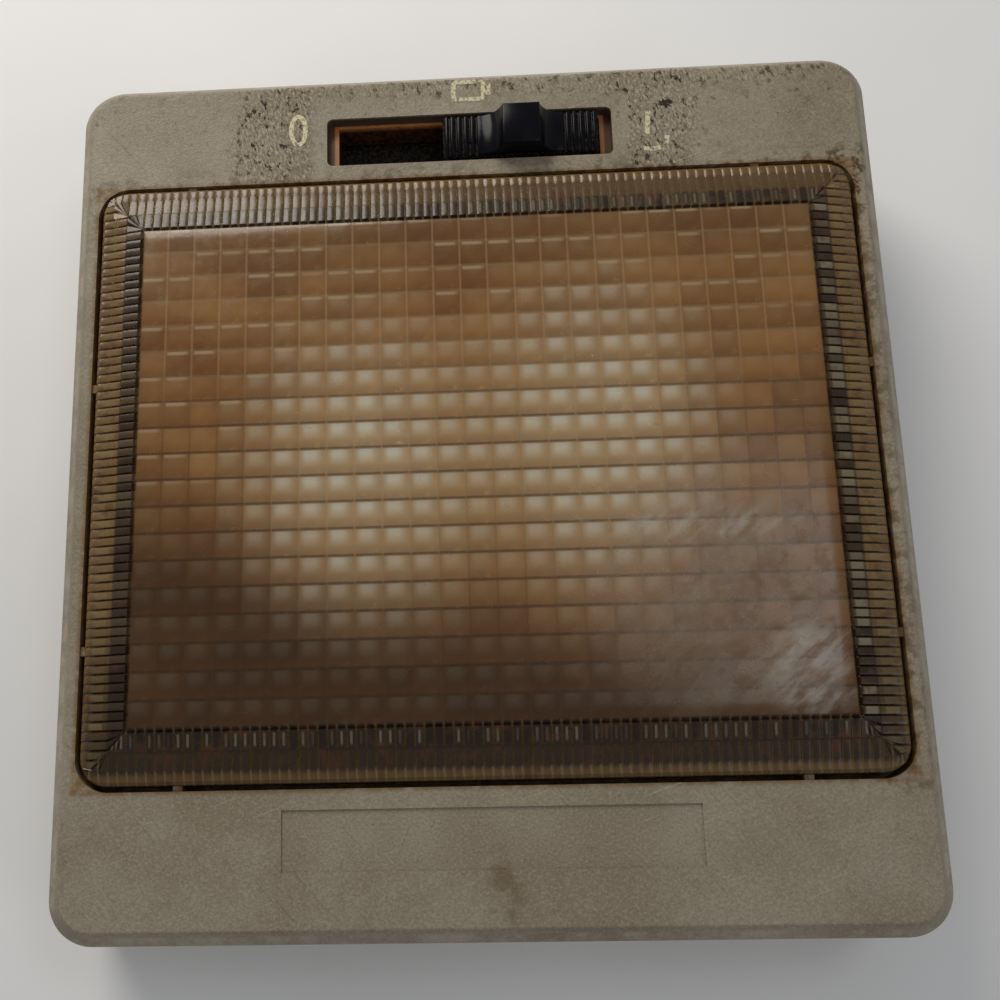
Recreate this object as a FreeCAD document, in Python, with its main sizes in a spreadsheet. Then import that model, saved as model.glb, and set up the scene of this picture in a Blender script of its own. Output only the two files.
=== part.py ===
"""Vehicle interior lamp: moulded housing, pull-off prismatic lens, two tubular bulbs and a three-way switch.

Frame: origin at the centre of the rear mounting plane, +Z out through the lens, +Y towards the switch and
+X right when the lens is looked at.  All sizes are millimetres.
"""
import FreeCAD, Part
import math
import os
import re
import Sketcher

Vector = FreeCAD.Vector

SIZES = [
    # housing
    ("housing_width", 153.0, "outside, along X"),
    ("housing_length", 165.0, "outside, along Y"),
    ("housing_depth", 30.0, "rear plane to front face"),
    ("housing_corner", 8.0, "corner radius seen from the front"),
    ("front_bevel", 2.4, "bevel round the front face"),
    ("bevel_softness", 0.9, "radius that softens both edges of the bevel"),
    ("wall", 2.5, "housing wall"),
    # lens and its well
    ("side_border", 4.35, "housing side to lens well"),
    ("top_border", 23.1, "housing top edge to lens well"),
    ("bottom_border", 25.9, "housing bottom edge to lens well"),
    ("lens_corner", 5.0, "corner radius of the lens"),
    ("lens_gap", 1.0, "gap between lens and well"),
    ("lens_seat", 6.0, "depth of the lens ledge under the front face"),
    ("lens_skirt", 2.0, "thickness of the lens skirt"),
    ("lens_lip", 0.8, "height of the lens lip above the front face"),
    ("lens_lip_width", 1.2, "flat top of the lip"),
    ("lens_rise", 3.0, "height of the lens panel above the front face"),
    ("lens_thickness", 2.2, "thickness of the panel"),
    ("rim_side", 8.65, "ribbed rim left and right of the prism panel"),
    ("rim_end", 9.5, "ribbed rim above and below the prism panel"),
    ("panel_corner", 1.5, "corner radius of the prism panel"),
    ("ledge_width", 4.0, "ledge under the skirt"),
    ("ledge_thickness", 2.5, "thickness of the ledge"),
    ("well_wall", 2.0, "wall of the lens well above and below"),
    ("nib_width", 1.6, "nib that centres the lens"),
    ("nib_clearance", 0.05, "gap between nib and lens"),
    ("nib_drop", 0.5, "nib top under the front face"),
    ("nib_inset", 17.15, "upper and lower nibs, from the side of the lens"),
    ("nib_high", 17.0, "upper side nibs, from the lens centre along Y"),
    ("nib_low", 33.0, "lower side nibs, below the lens centre along Y"),
    # label recess
    ("recess_width", 71.5, "empty recess below the lens, along X"),
    ("recess_length", 10.4, "recess, along Y"),
    ("recess_inset", 17.2, "recess middle to the housing bottom edge"),
    ("recess_depth", 0.3, "recess"),
    # fixing to the vehicle
    ("fixing_side_inset", 7.15, "mounting holes inside the ledge opening, along X"),
    ("fixing_end_inset", 7.5, "mounting holes inside the ledge opening, along Y"),
    ("fixing_hole", 2.2, "radius of a mounting hole"),
    ("boss_radius", 5.0, "mounting boss"),
    ("boss_rise", 2.0, "mounting boss above the reflector face"),
    ("boss_clearance", 0.7, "gap between boss and reflector"),
    ("rib_thickness", 2.0, "rib from boss to side wall"),
    ("rib_gap", 1.6, "rib to the back of the reflector plate"),
    # reflector
    ("reflector_drop", 18.0, "reflector face behind the front face"),
    ("reflector_thickness", 1.4, "reflector wall"),
    ("reflector_side_lap", 3.0, "plate behind the ledge, left and right"),
    ("reflector_end_lap", 1.0, "plate behind the ledge, top and bottom"),
    ("trough_width", 32.0, "trough behind a bulb, along X"),
    ("trough_length", 60.0, "trough, along Y"),
    ("trough_depth", 5.0, "trough"),
    ("pillar_radius", 2.6, "pillar for a reflector screw"),
    ("pillar_inset", 1.2, "pillar axis outside the ledge opening"),
    ("pillar_step", 16.5, "pillar to mounting hole, along Y"),
    # bulbs
    ("bulb_spacing", 40.0, "between bulb axes"),
    ("bulb_offset", 4.0, "bulb centre above the lens centre"),
    ("bulb_rise", 5.0, "bulb axis above the reflector face"),
    ("glass_radius", 7.0, "bulb glass"),
    ("glass_wall", 0.6, "bulb glass wall"),
    ("glass_straight", 20.0, "straight stretch of the glass"),
    ("shoulder", 4.0, "length of each glass shoulder"),
    ("neck_radius", 3.4, "glass neck inside the cap"),
    ("neck_length", 3.0, "glass neck"),
    ("cap_radius", 4.2, "metal end cap"),
    ("cap_length", 5.5, "straight stretch of the cap"),
    ("cap_play", 0.05, "gap between cap and neck, and between cap and clip"),
    ("cone_length", 1.8, "cone of the cap"),
    ("nipple_radius", 1.6, "point of the cap"),
    ("nipple_length", 0.9, "point of the cap"),
    ("coil_radius", 0.6, "lamp filament, taken as a rod"),
    ("coil_length", 15.0, "lamp filament"),
    ("lead_radius", 0.3, "wire that holds the filament"),
    # clips, strips and rivets
    ("clip_width", 8.0, "bulb clip"),
    ("clip_thickness", 0.6, "bulb clip"),
    ("clip_rise", 9.5, "upright of the clip above the reflector"),
    ("clip_foot", 9.0, "clip foot past the end of the trough"),
    ("clip_rivet_inset", 5.0, "clip rivet past the end of the trough"),
    ("strip_thickness", 0.5, "busbar"),
    ("strip_width", 6.0, "busbar behind the clips"),
    ("arm_width", 5.0, "busbar arm to the switch"),
    ("arm_gap", 5.5, "trough to the arm of the lamp busbar"),
    ("rivet_radius", 1.2, "clip rivet"),
    ("rivet_head", 2.2, "clip rivet head radius"),
    ("rivet_cap", 0.5, "rivet head height"),
    ("rivet_play", 0.05, "gap round a rivet or a screw in its hole"),
    # screws
    ("screw_radius", 1.2, "screw shank"),
    ("screw_head", 2.5, "screw head radius"),
    ("screw_head_height", 1.7, "screw head"),
    ("screw_length", 7.0, "shank inside the pillar"),
    ("screw_hole_depth", 8.0, "hole in the pillar"),
    ("cross_length", 3.0, "cross recess"),
    ("cross_width", 0.7, "cross recess"),
    ("cross_depth", 0.8, "cross recess"),
    # switch
    ("slot_margin", 2.1, "slot beyond the frame window, each end"),
    ("slot_length", 10.2, "slot, along Y"),
    ("slot_corner", 1.2, "slot corner"),
    ("switch_inset", 14.8, "slot middle to the housing top edge"),
    ("switch_travel", 10.0, "slider step each way from the middle position"),
    ("frame_bar", 3.5, "amber frame beyond its window, each end"),
    ("frame_length", 12.0, "amber frame, along Y"),
    ("frame_depth", 5.4, "amber frame, along Z"),
    ("wing_end_gap", 0.5, "wing end to frame window at each end stop"),
    ("frame_window_length", 9.0, "window of the frame, along Y"),
    ("frame_flange", 1.5, "flange that is held on the pillars"),
    ("frame_flange_lap", 2.0, "flange beyond the switch pillars"),
    ("pillar_gap", 2.0, "switch pillar to shutter plate at its end stop"),
    ("switch_pillar_radius", 3.5, "switch pillar"),
    ("board_margin", 4.5, "contact board beyond the pillar axes"),
    ("board_length", 16.0, "contact board, along Y"),
    ("board_thickness", 1.6, "contact board"),
    ("switch_depth", 10.5, "inside of the front wall to the contact board"),
    ("shutter_lap", 1.5, "shutter plate behind the frame at each end stop"),
    ("shutter_length", 11.4, "shutter plate, along Y"),
    ("shutter_thickness", 1.5, "shutter plate"),
    ("shutter_gap", 3.0, "board to shutter plate"),
    ("wing_width", 30.0, "both wings of the slider, along X"),
    ("wing_side_gap", 0.3, "wing to frame window, each side"),
    ("wing_rise", 0.4, "wing top above the front face"),
    ("knob_width", 7.0, "knob, along X"),
    ("knob_rise", 3.8, "knob top above the front face"),
    ("ramp_width", 4.0, "concave ramp from wing to knob"),
    ("ramp_radius", 4.6, "concave ramp"),
    ("wing_edge", 0.6, "bevel at the wing ends"),
    ("grip_pitch", 1.3, "grooves of the wing pads"),
    ("grip_groove", 0.5, "groove width"),
    ("grip_depth", 0.5, "groove depth"),
    ("grip_count", 5, "grooves in each pad"),
    ("carrier_width", 8.0, "block that carries the bridge, along X"),
    ("carrier_height", 1.4, "block that carries the bridge"),
    ("bridge_width", 5.0, "contact bridge, along X"),
    ("bridge_length", 8.0, "contact bridge, along Y"),
    ("bridge_thickness", 0.4, "contact bridge"),
    ("contact_thickness", 0.4, "fixed contacts"),
    ("contact_row", 2.5, "contact rows, from the slot centre along Y"),
    ("contact_width", 2.4, "fixed contacts, along Y"),
    ("contact_pad", 6.0, "contact stretch of the door and ground contacts"),
    ("contact_gap", 0.05, "dome to fixed contact"),
    ("dome_radius", 0.9, "contact dome"),
    ("detent_span", 12.0, "detent spring, along X"),
    ("detent_width", 2.4, "detent spring, along Y"),
    ("detent_thickness", 0.3, "detent spring"),
    ("detent_bite", 0.4, "detent spring below the board face"),
    ("notch_width", 5.6, "detent notch, along X"),
    ("notch_length", 3.0, "detent notch, along Y"),
    ("notch_depth", 0.7, "detent notch"),
    # terminals
    ("terminal_pitch", 28.0, "between terminals, along X"),
    ("blade_width", 6.3, "blade, along X"),
    ("blade_thickness", 0.8, "blade"),
    ("blade_length", 9.0, "blade below its foot"),
    ("foot_length", 7.0, "terminal foot, along Y"),
    ("foot_inset", 0.9, "terminal foot inside the edge of the board"),
    ("foot_rivet", 1.7, "rivet from the first edge of the foot"),
    ("contact_rivet", 0.9, "contact rivet"),
    ("contact_rivet_head", 1.4, "contact rivet head"),
]

ALIASES = {name for name, _, _ in SIZES}

FRONT = "housing_depth"
LENS_Y = "((bottom_border - top_border) / 2)"
SWITCH_Y = "(housing_length / 2 - switch_inset)"
RECESS_Y = "(recess_inset - housing_length / 2)"
SEAT = "(housing_depth - lens_seat)"
LEDGE_BACK = "(housing_depth - lens_seat - ledge_thickness)"
CEILING = "(housing_depth - wall)"
WELL_WIDTH = "(housing_width - 2 * side_border)"
WELL_LENGTH = "(housing_length - top_border - bottom_border)"
OPENING_WIDTH = f"({WELL_WIDTH} - 2 * ledge_width)"
OPENING_LENGTH = f"({WELL_LENGTH} - 2 * ledge_width)"
LENS_WIDTH = f"({WELL_WIDTH} - 2 * lens_gap)"
LENS_LENGTH = f"({WELL_LENGTH} - 2 * lens_gap)"
PANEL_WIDTH = f"({LENS_WIDTH} - 2 * rim_side)"
PANEL_LENGTH = f"({LENS_LENGTH} - 2 * rim_end)"
NIB_X = f"({LENS_WIDTH} / 2 - nib_inset)"
FIXING_X = f"({OPENING_WIDTH} / 2 - fixing_side_inset)"
FIXING_Y = f"({OPENING_LENGTH} / 2 - fixing_end_inset)"
REFLECTOR = "(housing_depth - reflector_drop)"
PLATE_BACK = f"({REFLECTOR} - reflector_thickness)"
BOSS_TOP = f"({REFLECTOR} + boss_rise)"
TROUGH_RADIUS = "((trough_width * trough_width / 4 + trough_depth * trough_depth) / (2 * trough_depth))"
TROUGH_BACK_HALF = (
    f"sqrt(pow({TROUGH_RADIUS} + reflector_thickness; 2)"
    f" - pow({TROUGH_RADIUS} - trough_depth + reflector_thickness; 2))"
)
BULB_Y = f"({LENS_Y} + bulb_offset)"
CAP_START = "(glass_straight / 2 + shoulder)"
CLIP_FACE = f"({CAP_START} + cap_length + cone_length + cap_play)"
CLIP_RIVET = "(trough_length / 2 + clip_rivet_inset)"
BUSBAR_BACK = f"({PLATE_BACK} - strip_thickness)"
LAMP_ARM_X = "(bulb_spacing / 2 + trough_width / 2 + arm_gap + arm_width / 2)"
BOARD_TOP = f"({CEILING} - switch_depth)"
BOARD_BACK = f"({BOARD_TOP} - board_thickness)"
SHUTTER_BACK = f"({BOARD_TOP} + shutter_gap)"
WINDOW_WIDTH = "(wing_width + 2 * switch_travel + 2 * wing_end_gap)"
SHUTTER_WIDTH = f"({WINDOW_WIDTH} + 2 * switch_travel + 2 * shutter_lap)"
SWITCH_PILLAR_X = f"({SHUTTER_WIDTH} / 2 + switch_travel + pillar_gap + switch_pillar_radius)"
DETENT_OFFSET = "(2 * switch_travel + contact_pad / 2 + detent_span / 2)"
FOOT_START = f"({SWITCH_Y} - board_length / 2 + foot_inset)"
FOOT_RIVET_Y = f"({FOOT_START} + foot_rivet)"
LAMP_ROW = f"({SWITCH_Y} + contact_row)"
PAD_ROW = f"({SWITCH_Y} - contact_row)"
PILLAR_X = f"({OPENING_WIDTH} / 2 + pillar_inset)"
PILLAR_Y = f"({FIXING_Y} - pillar_step)"

doc = FreeCAD.newDocument("interior_lamp")
parts = []


def make_sheet():
    """Write the driving dimensions into the spreadsheet, one named row each."""
    sheet = doc.addObject("Spreadsheet::Sheet", "Sizes")
    for row, (name, value, note) in enumerate(SIZES, start=1):
        sheet.set(f"A{row}", name)
        sheet.set(f"B{row}", str(value))
        sheet.setAlias(f"B{row}", name)
        sheet.set(f"C{row}", note)
    doc.recompute()
    return sheet


def linked(text):
    """Turn plain size names into references to the spreadsheet."""
    return re.sub(r"[a-z_]+", lambda word: "Sizes." + word[0] if word[0] in ALIASES else word[0], str(text))


def value(text):
    """Present value of an expression, in millimetres."""
    return float(sheet.evalExpression(linked(text)))


def bind(item, target, text):
    """Tie a property or a constraint to the spreadsheet."""
    item.setExpression(target, linked(text))


def hold(sketch, kind, *where, size):
    """Add a dimension to a sketch and tie it to the spreadsheet."""
    index = sketch.addConstraint(Sketcher.Constraint(kind, *where, value(size)))
    bind(sketch, f"Constraints[{index}]", size)


def rounded(x, y, width, length, radius):
    """Drawing of a rectangle with round corners about the point x, y."""
    def draw(sketch):
        half_x, half_y, r = value(width) / 2, value(length) / 2, value(radius)
        centre = Vector(value(x), value(y), 0)
        across, along = half_x - r, half_y - r
        corners = [(across, along), (-across, along), (-across, -along), (across, -along)]
        quarter = math.pi / 2
        arcs, lines = [], []
        for turn, (cx, cy) in enumerate(corners):
            circle = Part.Circle(centre + Vector(cx, cy, 0), Vector(0, 0, 1), r)
            arcs.append(sketch.addGeometry(Part.ArcOfCircle(circle, turn * quarter, (turn + 1) * quarter)))
        for turn in range(4):
            start = sketch.getPoint(arcs[turn], 2)
            end = sketch.getPoint(arcs[(turn + 1) % 4], 1)
            lines.append(sketch.addGeometry(Part.LineSegment(start, end)))
        for turn in range(4):
            sketch.addConstraint(Sketcher.Constraint("Tangent", arcs[turn], 2, lines[turn], 1))
            sketch.addConstraint(Sketcher.Constraint("Tangent", lines[turn], 2, arcs[(turn + 1) % 4], 1))
        for turn in range(3):
            sketch.addConstraint(Sketcher.Constraint("Equal", arcs[turn], arcs[turn + 1]))
        sketch.addConstraint(Sketcher.Constraint("Horizontal", lines[0]))
        sketch.addConstraint(Sketcher.Constraint("Vertical", lines[1]))
        sketch.addConstraint(Sketcher.Constraint("Horizontal", lines[2]))
        sketch.addConstraint(Sketcher.Constraint("Vertical", lines[3]))
        hold(sketch, "Radius", arcs[0], size=radius)
        hold(sketch, "DistanceX", -1, 1, lines[1], 1, size=f"{x} - ({width}) / 2")
        hold(sketch, "DistanceX", -1, 1, lines[3], 1, size=f"{x} + ({width}) / 2")
        hold(sketch, "DistanceY", -1, 1, lines[2], 1, size=f"{y} - ({length}) / 2")
        hold(sketch, "DistanceY", -1, 1, lines[0], 1, size=f"{y} + ({length}) / 2")
    return draw


def outline(points, arcs=()):
    """Drawing of a closed outline; arcs maps a side's number to its radius, negative to bend inwards."""
    arcs = dict(arcs)

    def draw(sketch):
        spots = [Vector(value(x), value(y), 0) for x, y in points]
        sides = []
        for number, start in enumerate(spots):
            end = spots[(number + 1) % len(spots)]
            if number in arcs:
                sides.append(sketch.addGeometry(bowed(start, end, value(arcs[number]))))
            else:
                sides.append(sketch.addGeometry(Part.LineSegment(start, end)))

        def tip(number, last):
            flipped = number in arcs and value(arcs[number]) < 0
            return 1 if last == flipped else 2

        for number in range(len(spots)):
            following = (number + 1) % len(spots)
            ends = (sides[number], tip(number, True), sides[following], tip(following, False))
            sketch.addConstraint(Sketcher.Constraint("Coincident", *ends))
        for number, (x, y) in enumerate(points):
            hold(sketch, "DistanceX", -1, 1, sides[number], tip(number, False), size=x)
            hold(sketch, "DistanceY", -1, 1, sides[number], tip(number, False), size=y)
        for number, radius in arcs.items():
            hold(sketch, "Radius", sides[number], size=f"abs({radius})")
    return draw


def bowed(start, end, radius):
    """Arc from start to end: a positive radius bulges to the right of the way from start to end."""
    chord = end - start
    left = Vector(-chord.y, chord.x, 0).normalize()
    rise = (radius * radius - chord.Length ** 2 / 4) ** 0.5
    side = 1 if radius > 0 else -1
    centre = (start + end) * 0.5 + left * (rise * side)
    middle = centre - left * (abs(radius) * side)
    return Part.Arc(start, middle, end)


def rectangle(x, y, width, length):
    """Drawing of a rectangle about the point x, y."""
    left, right = f"{x} - ({width}) / 2", f"{x} + ({width}) / 2"
    low, high = f"{y} - ({length}) / 2", f"{y} + ({length}) / 2"
    return outline([(left, low), (right, low), (right, high), (left, high)])


def disc(x, y, radius):
    """Drawing of a circle."""
    def draw(sketch):
        centre = Vector(value(x), value(y), 0)
        circle = sketch.addGeometry(Part.Circle(centre, Vector(0, 0, 1), value(radius)))
        hold(sketch, "DistanceX", -1, 1, circle, 3, size=x)
        hold(sketch, "DistanceY", -1, 1, circle, 3, size=y)
        hold(sketch, "Radius", circle, size=radius)
    return draw


def plane_of(body, role):
    """One of a body's own origin planes or axes."""
    return next(item for item in body.Origin.OriginFeatures if item.Role == role)


def new_part(label):
    """Start a sub-part."""
    body = doc.addObject("PartDesign::Body", label)
    body.Label = label
    body.AllowCompound = True
    parts.append(body)
    return body


def sketch_on(body, name, plane, start, drawings):
    """Sketch on a plane parallel to one of the body's origin planes, start millimetres along +X, +Y or +Z."""
    sketch = body.newObject("Sketcher::SketchObject", name)
    sketch.AttachmentSupport = (plane_of(body, plane + "_Plane"), [""])
    sketch.MapMode = "FlatFace"
    bind(sketch, "AttachmentOffset.Base.z", f"-({start})" if plane == "XZ" else start)
    for draw in drawings:
        draw(sketch)
    return sketch


def add(body, name, plane, start, end, *drawings):
    """Pad drawings from start to end along the plane's axis."""
    feature = body.newObject("PartDesign::Pad", name)
    feature.Profile = sketch_on(body, name + "_sketch", plane, start, drawings)
    feature.Reversed = plane == "XZ"
    bind(feature, "Length", f"({end}) - ({start})")
    doc.recompute()
    return feature


def cut(body, name, plane, start, end, *drawings):
    """Pocket drawings from start to end along the plane's axis, and check that something was cut."""
    before = body.Shape.Volume
    feature = body.newObject("PartDesign::Pocket", name)
    feature.Profile = sketch_on(body, name + "_sketch", plane, start, drawings)
    feature.Reversed = plane != "XZ"
    bind(feature, "Length", f"({end}) - ({start})")
    doc.recompute()
    if not body.Shape.Volume < before:
        raise RuntimeError(f"{body.Label}: {name} cuts nothing")
    return feature


def loft(body, kind, name, start, first, end, second):
    """Ruled loft between two drawings at two heights."""
    feature = body.newObject("PartDesign::" + kind, name)
    feature.Profile = sketch_on(body, name + "_start", "XY", start, [first])
    feature.Sections = [sketch_on(body, name + "_end", "XY", end, [second])]
    feature.Ruled = True
    doc.recompute()
    return feature


def turned(body, name, plane, start, axis, *drawings):
    """Revolve drawings about the sketch's own horizontal (H) or vertical (V) axis."""
    feature = body.newObject("PartDesign::Revolution", name)
    sketch = sketch_on(body, name + "_sketch", plane, start, drawings)
    feature.Profile = sketch
    feature.ReferenceAxis = (sketch, [axis + "_Axis"])
    feature.Angle = 360
    doc.recompute()
    return feature


def repeated(body, feature, axis, reach, count):
    """Repeat a feature along one of the body's origin axes."""
    pattern = body.newObject("PartDesign::LinearPattern", feature.Name + "_row")
    pattern.Originals = [feature]
    pattern.Direction = (plane_of(body, axis + "_Axis"), [""])
    bind(pattern, "Length", reach)
    bind(pattern, "Occurrences", count)
    body.Tip = pattern
    doc.recompute()
    return pattern


def place(body, x="0", y="0", z="0"):
    """Set a sub-part down at its place in the lamp."""
    for letter, text in (("x", x), ("y", y), ("z", z)):
        bind(body, f"Placement.Base.{letter}", text)


def mirrored_pairs(x, y, centre_y="0"):
    """The four points at plus and minus x, and plus and minus y about centre_y."""
    return [(f"{i} * ({x})", f"{centre_y} + {j} * ({y})") for i in (-1, 1) for j in (-1, 1)]


def edges_at(shape, height):
    """Names of the edges that lie wholly at a height."""
    names = []
    for number, edge in enumerate(shape.Edges, start=1):
        box = edge.BoundBox
        if abs(box.ZMin - height) < 1e-6 and abs(box.ZMax - height) < 1e-6:
            names.append(f"Edge{number}")
    return names


def dress(body, kind, name, base, heights, size):
    """Chamfer or fillet every edge that lies at one of the heights."""
    feature = body.newObject("PartDesign::" + kind, name)
    names = [edge for height in heights for edge in edges_at(base.Shape, value(height))]
    feature.Base = (base, names)
    bind(feature, "Size" if kind == "Chamfer" else "Radius", size)
    doc.recompute()
    return feature


def build_housing():
    """Shell with the lens well, its nibs, mounting bosses, pillars, switch slot and label recess."""
    body = new_part("housing")
    block = add(body, "block", "XY", "0", FRONT,
                rounded("0", "0", "housing_width", "housing_length", "housing_corner"))
    bevel = dress(body, "Chamfer", "bevel", block, [FRONT], "front_bevel")
    dress(body, "Fillet", "bevel_edges", bevel, [FRONT, f"{FRONT} - front_bevel"], "bevel_softness")
    cut(body, "cavity", "XY", "0", CEILING,
        rounded("0", "0", "housing_width - 2 * wall", "housing_length - 2 * wall", "housing_corner - wall"))
    add(body, "well", "XY", LEDGE_BACK, f"{CEILING} + wall / 2",
        rounded("0", LENS_Y, f"{WELL_WIDTH} + 2 * well_wall", f"{WELL_LENGTH} + 2 * well_wall",
                "lens_corner + lens_gap + well_wall"))
    cut(body, "well_pocket", "XY", SEAT, f"{FRONT} + 1",
        rounded("0", LENS_Y, WELL_WIDTH, WELL_LENGTH, "lens_corner + lens_gap"))
    cut(body, "light_opening", "XY", f"{LEDGE_BACK} - 1", f"{SEAT} + 1",
        rounded("0", LENS_Y, OPENING_WIDTH, OPENING_LENGTH, "lens_corner"))
    add_nibs(body)
    add_bosses(body)
    pillar_spots = mirrored_pairs(PILLAR_X, PILLAR_Y, LENS_Y)
    add_pillars(body, "reflector_pillars", pillar_spots, REFLECTOR, LEDGE_BACK, "pillar_radius")
    switch_spots = [(f"{side} * {SWITCH_PILLAR_X}", SWITCH_Y) for side in (-1, 1)]
    add_pillars(body, "switch_pillars", switch_spots, BOARD_TOP, CEILING, "switch_pillar_radius")
    cut(body, "switch_slot", "XY", f"{CEILING} - 1", f"{FRONT} + 1",
        rounded("0", SWITCH_Y, f"{WINDOW_WIDTH} + 2 * slot_margin", "slot_length", "slot_corner"))
    cut(body, "label_recess", "XY", f"{FRONT} - recess_depth", f"{FRONT} + 1",
        rectangle("0", RECESS_Y, "recess_width", "recess_length"))


def add_nibs(body):
    """Eight nibs that bridge the gap round the lens and centre it."""
    reach = "(lens_gap - nib_clearance)"
    half_x, half_y = f"({WELL_WIDTH} / 2)", f"({WELL_LENGTH} / 2)"
    nibs = []
    for side in (-1, 1):
        for spread in (f"-{NIB_X}", NIB_X):
            y = f"{LENS_Y} + {side} * ({half_y} - {reach} / 2 + wall / 4)"
            nibs.append(rectangle(spread, y, "nib_width", f"{reach} + wall / 2"))
        for height in (f"{LENS_Y} + nib_high", f"{LENS_Y} - nib_low"):
            x = f"{side} * ({half_x} - {reach} / 2 + wall / 4)"
            nibs.append(rectangle(x, height, f"{reach} + wall / 2", "nib_width"))
    add(body, "nibs", "XY", SEAT, f"{FRONT} - nib_drop", *nibs)


def add_bosses(body):
    """Four mounting bosses inside the lens opening, each tied to the side wall by a rib."""
    spots = mirrored_pairs(FIXING_X, FIXING_Y, LENS_Y)
    add(body, "bosses", "XY", "0", BOSS_TOP, *[disc(x, y, "boss_radius") for x, y in spots])
    reach = f"(housing_width / 2 - wall / 2 - {FIXING_X})"
    ribs = []
    for side in (-1, 1):
        x = f"{side} * ({FIXING_X} + {reach} / 2)"
        for end in (-1, 1):
            ribs.append(rectangle(x, f"{LENS_Y} + {end} * {FIXING_Y}", reach, "rib_thickness"))
    add(body, "boss_ribs", "XY", "0", f"{PLATE_BACK} - rib_gap", *ribs)
    cut(body, "mounting_holes", "XY", "-1", f"{BOSS_TOP} + 1", *[disc(x, y, "fixing_hole") for x, y in spots])


def add_pillars(body, name, spots, low, high, radius):
    """Screw pillars that hang from the front of the shell, with blind holes from the rear."""
    add(body, name, "XY", low, f"{high} + wall / 2", *[disc(x, y, radius) for x, y in spots])
    hole = "screw_radius + rivet_play"
    cut(body, name + "_holes", "XY", low, f"{low} + screw_hole_depth", *[disc(x, y, hole) for x, y in spots])


def build_lens():
    """Shallow tray with a raised panel and a sloping rim."""
    body = new_part("lens")
    top = f"({FRONT} + lens_rise)"
    lip = f"({FRONT} + lens_lip)"
    add(body, "rim", "XY", SEAT, lip, rounded("0", LENS_Y, LENS_WIDTH, LENS_LENGTH, "lens_corner"))
    crest = (f"{LENS_WIDTH} - 2 * lens_lip_width", f"{LENS_LENGTH} - 2 * lens_lip_width",
             "lens_corner - lens_lip_width")
    panel = (PANEL_WIDTH, PANEL_LENGTH, "panel_corner")
    loft(body, "AdditiveLoft", "slope", lip, rounded("0", LENS_Y, *crest), top, rounded("0", LENS_Y, *panel))
    inside = (f"{LENS_WIDTH} - 2 * lens_skirt", f"{LENS_LENGTH} - 2 * lens_skirt", "lens_corner - lens_skirt")
    shelf = f"({lip} - lens_thickness)"
    cut(body, "hollow", "XY", SEAT, shelf, rounded("0", LENS_Y, *inside))
    loft(body, "SubtractiveLoft", "hollow_slope",
         shelf, rounded("0", LENS_Y, *inside),
         f"{top} - lens_thickness", rounded("0", LENS_Y, f"{PANEL_WIDTH} - 2 * panel_corner",
                                            f"{PANEL_LENGTH} - 2 * panel_corner", "panel_corner"))


def build_reflector():
    """Flat plate behind the ledge with one trough behind each bulb."""
    body = new_part("reflector")
    width = f"{OPENING_WIDTH} + 2 * reflector_side_lap"
    length = f"{OPENING_LENGTH} + 2 * reflector_end_lap"
    add(body, "plate", "XY", PLATE_BACK, REFLECTOR,
        rounded("0", LENS_Y, width, length, "lens_corner"))
    sides = [f"{side} * bulb_spacing / 2" for side in (-1, 1)]
    cut(body, "trough_mouths", "XY", f"{PLATE_BACK} - 1", f"{REFLECTOR} + 1",
        *[rectangle(x, BULB_Y, "trough_width", "trough_length") for x in sides])
    start, end = f"{BULB_Y} - trough_length / 2", f"{BULB_Y} + trough_length / 2"
    mouth, back = "trough_width / 2", TROUGH_BACK_HALF
    outside = f"{TROUGH_RADIUS} + reflector_thickness"
    troughs = []
    ends = []
    for x in sides:
        left, right = (f"{x} - {back}", PLATE_BACK), (f"{x} + {back}", PLATE_BACK)
        band = [(f"{x} - {mouth}", REFLECTOR), left, right, (f"{x} + {mouth}", REFLECTOR)]
        troughs.append(outline(band, {1: outside, 3: f"-{TROUGH_RADIUS}"}))
        ends.append(outline([left, right], {0: outside}))
    add(body, "troughs", "XZ", start, end, *troughs)
    add(body, "lower_ends", "XZ", f"{start} - reflector_thickness", start, *ends)
    add(body, "upper_ends", "XZ", end, f"{end} + reflector_thickness", *ends)
    bosses = mirrored_pairs(FIXING_X, FIXING_Y, LENS_Y)
    cut(body, "boss_holes", "XY", f"{PLATE_BACK} - 1", f"{REFLECTOR} + 1",
        *[disc(x, y, "boss_radius + boss_clearance") for x, y in bosses])
    pillars = mirrored_pairs(PILLAR_X, PILLAR_Y, LENS_Y)
    cut(body, "screw_holes", "XY", f"{PLATE_BACK} - 1", f"{REFLECTOR} + 1",
        *[disc(x, y, "screw_radius + 2 * rivet_play") for x, y in pillars])
    rivets = mirrored_pairs("bulb_spacing / 2", CLIP_RIVET, BULB_Y)
    cut(body, "rivet_holes", "XY", f"{PLATE_BACK} - 1", f"{REFLECTOR} + 1",
        *[disc(x, y, "rivet_radius + rivet_play") for x, y in rivets])


def build_screws(label, spots, face):
    """Cross-head screws driven from the rear, heads behind the given face."""
    body = new_part(label)
    back = f"({face} - screw_head_height)"
    add(body, "heads", "XY", back, face, *[disc(x, y, "screw_head") for x, y in spots])
    add(body, "shanks", "XY", face, f"{face} + screw_length + reflector_thickness",
        *[disc(x, y, "screw_radius") for x, y in spots])
    bars = {"cross": ("cross_length", "cross_width"), "cross_bar": ("cross_width", "cross_length")}
    for name, sides in bars.items():
        cut(body, name, "XY", f"{back} - 1", f"{back} + cross_depth",
            *[rectangle(x, y, *sides) for x, y in spots])


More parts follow.
